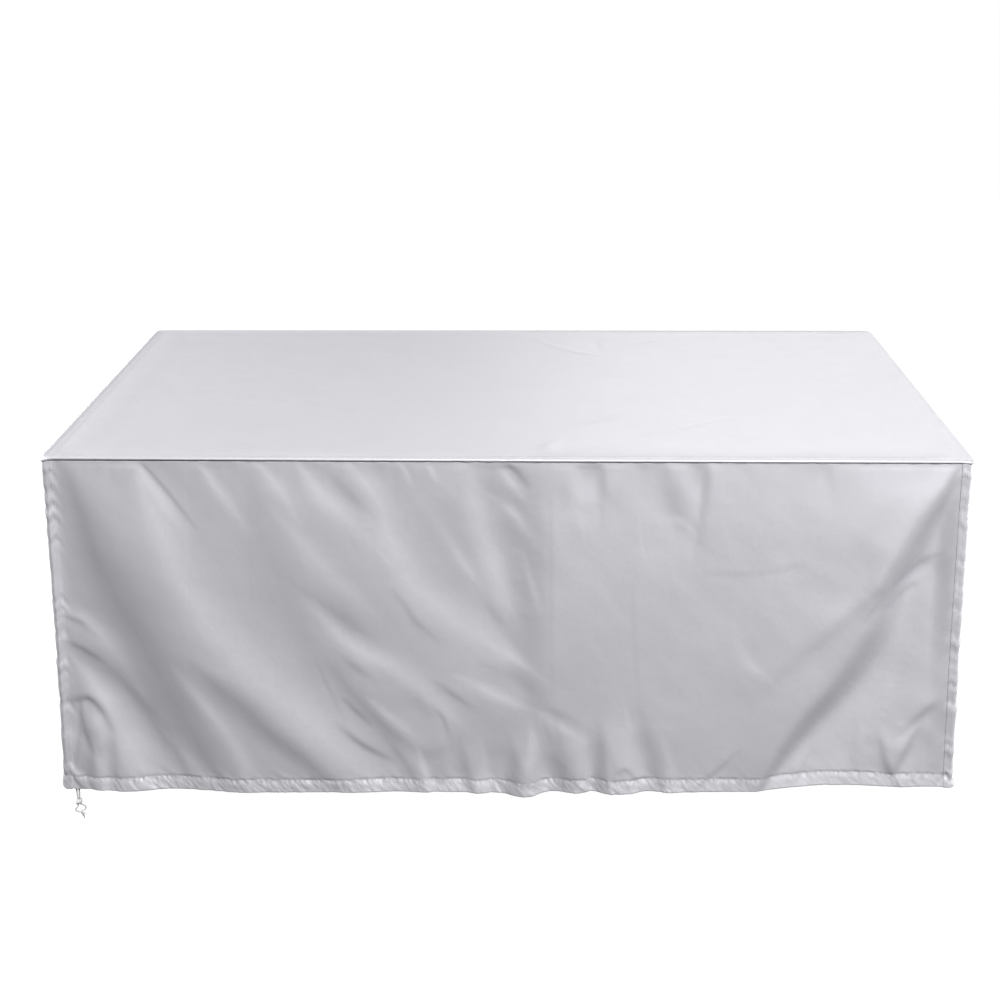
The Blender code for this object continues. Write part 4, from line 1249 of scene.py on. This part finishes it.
LEFT_RUN = [(-2.6, 0, -0.4), (-2.6, 0, -5), (-2.6, 0, -9), (-2.4, 0, -13),
            (-2.2, 0, -17), (-2.0, 0, -20.5), (-1.9, 0, -24), (-1.8, -0.6, -28),
            (-1.8, -1.8, -32.5), (-1.8, -3.2, -37), (-4.0, -4.4, -40.5),
            (-7.2, -5.1, -44.5), (-5.8, -5.4, -48.4), (-1.4, -5.5, -49.9),
            (4.0, -5.4, -51.2), (7.4, -5.2, -52.8), (10.2, -5.0, -55.2)]
RIGHT_RUN = [(2.6, 0, -0.4), (2.5, 0, -5), (2.4, 0, -9), (2.1, 0, -13),
             (1.9, 0, -17), (1.9, 0, -20.5), (1.9, 0, -24), (1.9, 0.6, -28),
             (1.9, 1.6, -32.5), (2.0, 2.6, -37), (6.3, 3.3, -39.6),
             (10.6, 3.6, -43.6), (9.2, 3.5, -49.2), (4.0, 3.3, -52.2),
             (1.0, 3.1, -57.0), (3.2, 3.0, -62.0), (5.6, 3.0, -65.2),
             (5.0, 3.0, -69.0)]


def run_length(route):
    p = np.array(route, float)
    line = smooth_line([tuple(r) for r in route], 8)
    return float(np.linalg.norm(np.diff(line, axis=0), axis=1).sum()) / 1000.0


def tie_cord(name, route):
    data = bpy.data.curves.new(name, "CURVE")
    data.dimensions = "3D"
    data.bevel_depth = CORD_D / 2
    data.bevel_resolution = 5
    data.use_fill_caps = True
    line = smooth_line(route, 5)
    spline = data.splines.new("POLY")
    spline.points.add(len(line) - 1)
    for point, co in zip(spline.points, line):
        point.co = (*tie_point(*co), 1.0)
    return add_object(name, data)


def tube_mesh(name, route, diameter, sides=10, plait=0.0):
    """Tube along a smooth curve, as a mesh; plait is the lay's relief."""
    line = smooth_line(route, 6)
    pts = np.array([tie_point(*p) for p in line])
    tan = tangents(pts)
    ref = np.array([0.3, 0.2, 0.93])
    verts, faces = [], []
    side = np.cross(tan[0], ref)
    side /= np.linalg.norm(side)
    walked = np.concatenate([[0.0], np.cumsum(np.linalg.norm(np.diff(pts, axis=0),
                                                             axis=1))])
    for i, (p, t) in enumerate(zip(pts, tan)):
        side = side - t * side.dot(t)
        side /= np.linalg.norm(side)
        up = np.cross(t, side)
        for k in range(sides):
            ang = 2 * math.pi * k / sides
            r = diameter / 2 * (1 + plait * math.cos(3 * ang - walked[i] / 0.0007))
            verts.append(p + r * (math.cos(ang) * side + math.sin(ang) * up))
    n = len(pts)
    for i in range(n - 1):
        for k in range(sides):
            a, b = i * sides + k, i * sides + (k + 1) % sides
            faces.append((a, b, b + sides, a + sides))
    faces.append(tuple(reversed(range(sides))))
    faces.append(tuple((n - 1) * sides + k for k in range(sides)))
    return mesh_from(name, verts, faces)


def knot_piece(name):
    """Overhand knot pulled tight: turns of the same cord round the strands."""
    turns = []
    for k in range(30):
        ang = 2 * math.pi * (k / 11.0) + 0.6
        height = -25.8 - 7.4 * k / 29.0 + 0.9 * math.sin(ang * 1.0 + 0.5)
        r = 4.7 + 0.5 * math.sin(1.7 * ang)
        turns.append((r * math.cos(ang), 0.86 * r * math.sin(ang), height))
    cross = [(-5.4, -1.5, -33.6), (-3.6, -5.2, -31.4), (0.4, -6.3, -29.2),
             (4.0, -4.4, -27.0), (4.6, 0.2, -25.4)]
    bm = bmesh.new()
    for route in (turns, cross):
        bm.from_mesh(tube_mesh(name + "_turn", route, 0.0031, 12, 0.05))
    core = bmesh.ops.create_icosphere(bm, subdivisions=3, radius=1.0)
    for v in core["verts"]:
        lump = 1.0 + 0.08 * math.sin(5 * v.co.x + 3 * v.co.z)
        v.co = Vector(tie_point(v.co.x * 4.3 * lump, v.co.y * 3.7 * lump,
                                -29.6 + v.co.z * 5.2))
    mesh = bpy.data.meshes.new(name)
    bm.to_mesh(mesh)
    bm.free()
    mesh.shade_smooth()
    return add_object(name, mesh)


def frayed_end(name, end, before, seed):
    """Short loose fibres at a cut cord end."""
    rng = np.random.default_rng(seed)
    e, b = np.array(end, float), np.array(before, float)
    d = (e - b) / np.linalg.norm(e - b)
    bm = bmesh.new()
    for k in range(14):
        off = rng.normal(0, 0.55, 3)
        tip = e + d * rng.uniform(0.8, 2.2) + off * 1.1
        mid = (e + tip) / 2 + off * 0.3
        start = e - d * 0.8 + off * 0.5
        bm.from_mesh(tube_mesh("fibre", [tuple(start), tuple(mid), tuple(tip)],
                               0.00022, 5))
    mesh = bpy.data.meshes.new(name)
    bm.to_mesh(mesh)
    bm.free()
    mesh.shade_smooth()
    return add_object(name, mesh)


# ------------------------------------------------------------------ materials
class Nodes:
    """Small helper that adds and joins shader nodes."""

    def __init__(self, name):
        self.mat = bpy.data.materials.new(name)
        self.mat.use_nodes = True
        self.tree = self.mat.node_tree
        self.bsdf = self.tree.nodes["Principled BSDF"]

    def add(self, kind, **sockets):
        node = self.tree.nodes.new(kind)
        for key, value in sockets.items():
            if hasattr(node, key) and not key[0].isupper():
                setattr(node, key, value)
        return node

    def join(self, a, b):
        self.tree.links.new(a, b)

    def math(self, op, a, b=None, clamp=False):
        node = self.tree.nodes.new("ShaderNodeMath")
        node.operation = op
        node.use_clamp = clamp
        for i, v in enumerate((a, b)):
            if v is None:
                continue
            if isinstance(v, (int, float)):
                node.inputs[i].default_value = v
            else:
                self.join(v, node.inputs[i])
        return node.outputs[0]

    def noise(self, vector, scale, detail=3.0, rough=0.55):
        node = self.tree.nodes.new("ShaderNodeTexNoise")
        node.inputs["Scale"].default_value = scale
        node.inputs["Detail"].default_value = detail
        node.inputs["Roughness"].default_value = rough
        self.join(vector, node.inputs["Vector"])
        return node.outputs["Fac"]


CLOTH_COLOR = (0.610, 0.603, 0.640)


def cloth_material(name, plane, painted_shade=(1.0, 1.0, 1.0)):
    """Coated polyester: even fine weave, soft satin, slight crush marks."""
    n = Nodes(name)
    coord = n.add("ShaderNodeTexCoord")
    obj = coord.outputs["Object"]
    sep = n.add("ShaderNodeSeparateXYZ")
    n.join(obj, sep.inputs[0])
    x, y, z = sep.outputs
    if plane == "xz":
        u, v = x, z
    elif plane == "yz":
        u, v = n.math("ADD", x, y), z
    else:
        u, v = x, y
    pitch = 0.00105
    su = n.math("SINE", n.math("MULTIPLY", u, 2 * math.pi / pitch))
    sv = n.math("SINE", n.math("MULTIPLY", v, 2 * math.pi / pitch))
    weave = n.math("MULTIPLY", su, sv)
    # slubs: long thin noise along each thread direction
    com = n.add("ShaderNodeCombineXYZ")
    n.join(n.math("MULTIPLY", u, 0.12), com.inputs[0])
    n.join(v, com.inputs[1])
    slub_a = n.noise(com.outputs[0], 700.0, 1.0)
    com2 = n.add("ShaderNodeCombineXYZ")
    n.join(u, com2.inputs[0])
    n.join(n.math("MULTIPLY", v, 0.12), com2.inputs[1])
    slub_b = n.noise(com2.outputs[0], 700.0, 1.0)
    slub = n.math("ADD", slub_a, slub_b)
    crush = n.noise(obj, 95.0, 4.0, 0.6)
    soft = n.noise(obj, 22.0, 3.0, 0.5)
    height = n.math("ADD", n.math("MULTIPLY", weave, 0.10),
                    n.math("MULTIPLY", slub, 0.10))
    bump1 = n.add("ShaderNodeBump")
    bump1.inputs["Strength"].default_value = 0.35
    bump1.inputs["Distance"].default_value = 0.0004
    n.join(height, bump1.inputs["Height"])
    bump2 = n.add("ShaderNodeBump")
    bump2.inputs["Strength"].default_value = 0.30
    bump2.inputs["Distance"].default_value = 0.0022
    n.join(n.math("ADD", n.math("MULTIPLY", crush, 0.35),
                  n.math("MULTIPLY", soft, 0.65)), bump2.inputs["Height"])
    n.join(bump1.outputs[0], bump2.inputs["Normal"])
    n.join(bump2.outputs[0], n.bsdf.inputs["Normal"])
    # colour: slight clouding, thread to thread variation
    cloud = n.noise(obj, 7.0, 4.0, 0.6)
    mix = n.add("ShaderNodeMix")
    mix.data_type = "RGBA"
    # painted_shade scales both tones of the colour; below 1 it is painted shade, a darker
    # copy of the same cloth for a panel that is to look less brightly lit
    dark = tuple(c * t * 0.955 for c, t in zip(CLOTH_COLOR, painted_shade))
    light = tuple(c * t * 1.045 for c, t in zip(CLOTH_COLOR, painted_shade))
    mix.inputs[6].default_value = (*dark, 1.0)
    mix.inputs[7].default_value = (*light, 1.0)
    share = n.math("ADD", n.math("MULTIPLY", cloud, 0.55),
                   n.math("MULTIPLY", n.math("ADD", n.math("MULTIPLY", slub, 0.5),
                                             n.math("MULTIPLY", weave, 0.18)),
                          0.45), clamp=True)
    n.join(share, mix.inputs[0])
    n.join(mix.outputs[2], n.bsdf.inputs["Base Color"])
    rough = n.math("ADD", 0.44, n.math("MULTIPLY", n.noise(obj, 30.0, 3.0), 0.12))
    n.join(rough, n.bsdf.inputs["Roughness"])
    n.bsdf.inputs["Specular IOR Level"].default_value = 0.5
    n.bsdf.inputs["Metallic"].default_value = 0.30
    n.bsdf.inputs["Sheen Weight"].default_value = 0.06
    n.bsdf.inputs["Sheen Roughness"].default_value = 0.5
    return n.mat


def thread_material():
    n = Nodes("thread")
    coord = n.add("ShaderNodeTexCoord")
    fib = n.noise(coord.outputs["Object"], 900.0, 2.0)
    mix = n.add("ShaderNodeMix")
    mix.data_type = "RGBA"
    mix.inputs[6].default_value = (0.17, 0.165, 0.18, 1.0)
    mix.inputs[7].default_value = (0.27, 0.262, 0.28, 1.0)
    n.join(fib, mix.inputs[0])
    n.join(mix.outputs[2], n.bsdf.inputs["Base Color"])
    n.join(n.math("ADD", 0.5, n.math("MULTIPLY", fib, 0.2)),
           n.bsdf.inputs["Roughness"])
    return n.mat


def cord_material():
    """White braided cord: plaited relief, with painted shade greying the plait's hollows."""
    n = Nodes("white_braid_painted_shade")
    coord = n.add("ShaderNodeTexCoord")
    obj = coord.outputs["Object"]
    sep = n.add("ShaderNodeSeparateXYZ")
    n.join(obj, sep.inputs[0])
    x, y, z = sep.outputs
    a = n.math("SINE", n.math("MULTIPLY", n.math("ADD", n.math("ADD", x, y), z),
                              2 * math.pi / 0.0014))
    b = n.math("SINE", n.math("MULTIPLY",
                              n.math("SUBTRACT", n.math("ADD", x, y), z),
                              2 * math.pi / 0.0014))
    plait = n.math("MULTIPLY", a, b)
    fib = n.noise(obj, 1500.0, 2.0)
    bump = n.add("ShaderNodeBump")
    bump.inputs["Strength"].default_value = 0.7
    bump.inputs["Distance"].default_value = 0.0004
    n.join(n.math("ADD", n.math("MULTIPLY", plait, 0.5),
                  n.math("MULTIPLY", fib, 0.3)), bump.inputs["Height"])
    n.join(bump.outputs[0], n.bsdf.inputs["Normal"])
    # painted shade: the colour goes grey where the plait's relief is low, in its hollows
    mix = n.add("ShaderNodeMix")
    mix.data_type = "RGBA"
    mix.inputs[6].default_value = (0.42, 0.40, 0.41, 1.0)
    mix.inputs[7].default_value = (0.78, 0.765, 0.76, 1.0)
    n.join(n.math("ADD", 0.55, n.math("MULTIPLY", plait, 0.35), clamp=True),
           mix.inputs[0])
    n.join(mix.outputs[2], n.bsdf.inputs["Base Color"])
    n.join(n.math("ADD", 0.65, n.math("MULTIPLY", fib, 0.2)),
           n.bsdf.inputs["Roughness"])
    return n.mat


# ------------------------------------------------------------------ assembly
def dress(obj, material, node=None):
    if obj.type == "CURVE":
        obj.data.materials.append(material)
    else:
        obj.data.materials.clear()
        obj.data.materials.append(material)
    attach(obj, "root")
    if node:
        nodes = node if isinstance(node, (list, tuple)) else [node]
        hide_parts(*nodes)
    return obj


def build_tie():
    braid = cord_material()
    left = dress(tie_cord("tie_cord_left", LEFT_RUN), braid,
                 ["drawstring_strand_left", "drawstring_end_left"])
    right = dress(tie_cord("tie_cord_right", RIGHT_RUN), braid,
                  ["drawstring_strand_right", "drawstring_end_right"])
    knot = dress(knot_piece("tie_knot"), braid, "drawstring_knot")
    fray_l = dress(frayed_end("tie_fray_left", LEFT_RUN[-1], LEFT_RUN[-2], 5),
                   braid, None)
    fray_r = dress(frayed_end("tie_fray_right", RIGHT_RUN[-1], RIGHT_RUN[-2], 6),
                   braid, None)
    print("tie lengths", run_length(LEFT_RUN), run_length(RIGHT_RUN))


def build_cloth():
    thread = thread_material()
    front = dress(long_panel("front_cloth", -1, 0.0040),
                  cloth_material("cloth_front", "xz"), "front_panel")
    fs = dress(long_panel_stitches("front_stitches", -1), thread, None)
    back = dress(long_panel("back_cloth", 1, 0.0060),
                 cloth_material("cloth_back", "xz"), "back_panel")
    bs = dress(long_panel_stitches("back_stitches", 1), thread, None)
    for name, facing in (("left", -1), ("right", 1)):
        end = dress(end_panel(name + "_cloth", facing, 0.0050),
                    cloth_material("cloth_" + name, "yz"), name + "_panel")
        es = dress(end_panel_stitches(name + "_stitches", facing), thread, None)
    # painted shade: the top's copy of the cloth is 5 % darker than the skirt panels' copies,
    # to tone down how brightly the top is lit
    top = dress(top_panel("top_cloth"), cloth_material("cloth_top_painted_shade", "xy", (0.95, 0.95, 0.95)),
                "top_panel")
    ts = dress(top_stitches("top_stitches"), thread, None)


def area_light(name, place, aim, size, power, color=(1, 1, 1)):
    data = bpy.data.lights.new(name, "AREA")
    data.shape = "RECTANGLE"
    data.size, data.size_y = size
    data.energy = power
    data.color = color
    obj = bpy.data.objects.new(name, data)
    bpy.context.scene.collection.objects.link(obj)
    obj.location = place
    d = Vector(aim) - Vector(place)
    obj.rotation_euler = d.to_track_quat("-Z", "Y").to_euler()
    return obj


def build_studio():
    scene = bpy.context.scene
    scene.view_settings.view_transform = "Standard"
    world = bpy.data.worlds.new("studio")
    scene.world = world
    world.use_nodes = True
    bg = world.node_tree.nodes["Background"]
    bg.inputs[0].default_value = (1.0, 1.0, 1.0, 1.0)
    bg.inputs[1].default_value = 0.12
    # broad light from above and in front, a little to the right
    area_light("key", (1.6, -3.7, 4.2), (0.0, -0.3, -0.3), (2.2, 2.2), 498.0)
    area_light("left_fill", (-3.8, 0.55, 1.3), (-0.85, -0.4, -0.3), (1.6, 2.0), 165.0)
    area_light("back_glow", (2.0, 6.0, 2.0), (0.5, 0.1, 0.0), (4.0, 2.2), 76.0)
    area_light("right_fill", (4.2, 0.7, -0.4), (0.88, 0.0, -0.4), (2.6, 0.7), 95.0)
    area_light("rear_fill", (-2.2, 3.8, -0.43), (0.0, 0.47, -0.4), (3.0, 0.55), 105.0)
    area_light("low_fill", (1.2, -3.4, -0.3), (0.5, -0.47, -0.65), (1.2, 0.8), 8.5)
    # floor
    bm = bmesh.new()
    bmesh.ops.create_grid(bm, x_segments=1, y_segments=1, size=60.0)
    mesh = bpy.data.meshes.new("floor")
    bm.to_mesh(mesh)
    bm.free()
    floor = add_object("floor", mesh)
    floor.location = (0, 0, -0.802)
    mat = bpy.data.materials.new("floor_white")
    mat.use_nodes = True
    nt = mat.node_tree
    out = nt.nodes["Material Output"]
    nt.nodes.remove(nt.nodes["Principled BSDF"])
    em = nt.nodes.new("ShaderNodeEmission")
    em.inputs[0].default_value = (1, 1, 1, 1)
    em.inputs[1].default_value = 0.99
    df = nt.nodes.new("ShaderNodeBsdfDiffuse")
    df.inputs[0].default_value = (0.10, 0.10, 0.102, 1)
    add = nt.nodes.new("ShaderNodeAddShader")
    nt.links.new(em.outputs[0], add.inputs[0])
    nt.links.new(df.outputs[0], add.inputs[1])
    nt.links.new(add.outputs[0], out.inputs[0])
    mesh.materials.append(mat)
    floor.visible_diffuse = False
    floor.visible_glossy = False


build_tie()
build_cloth()
build_studio()

bpy.context.view_layer.update()
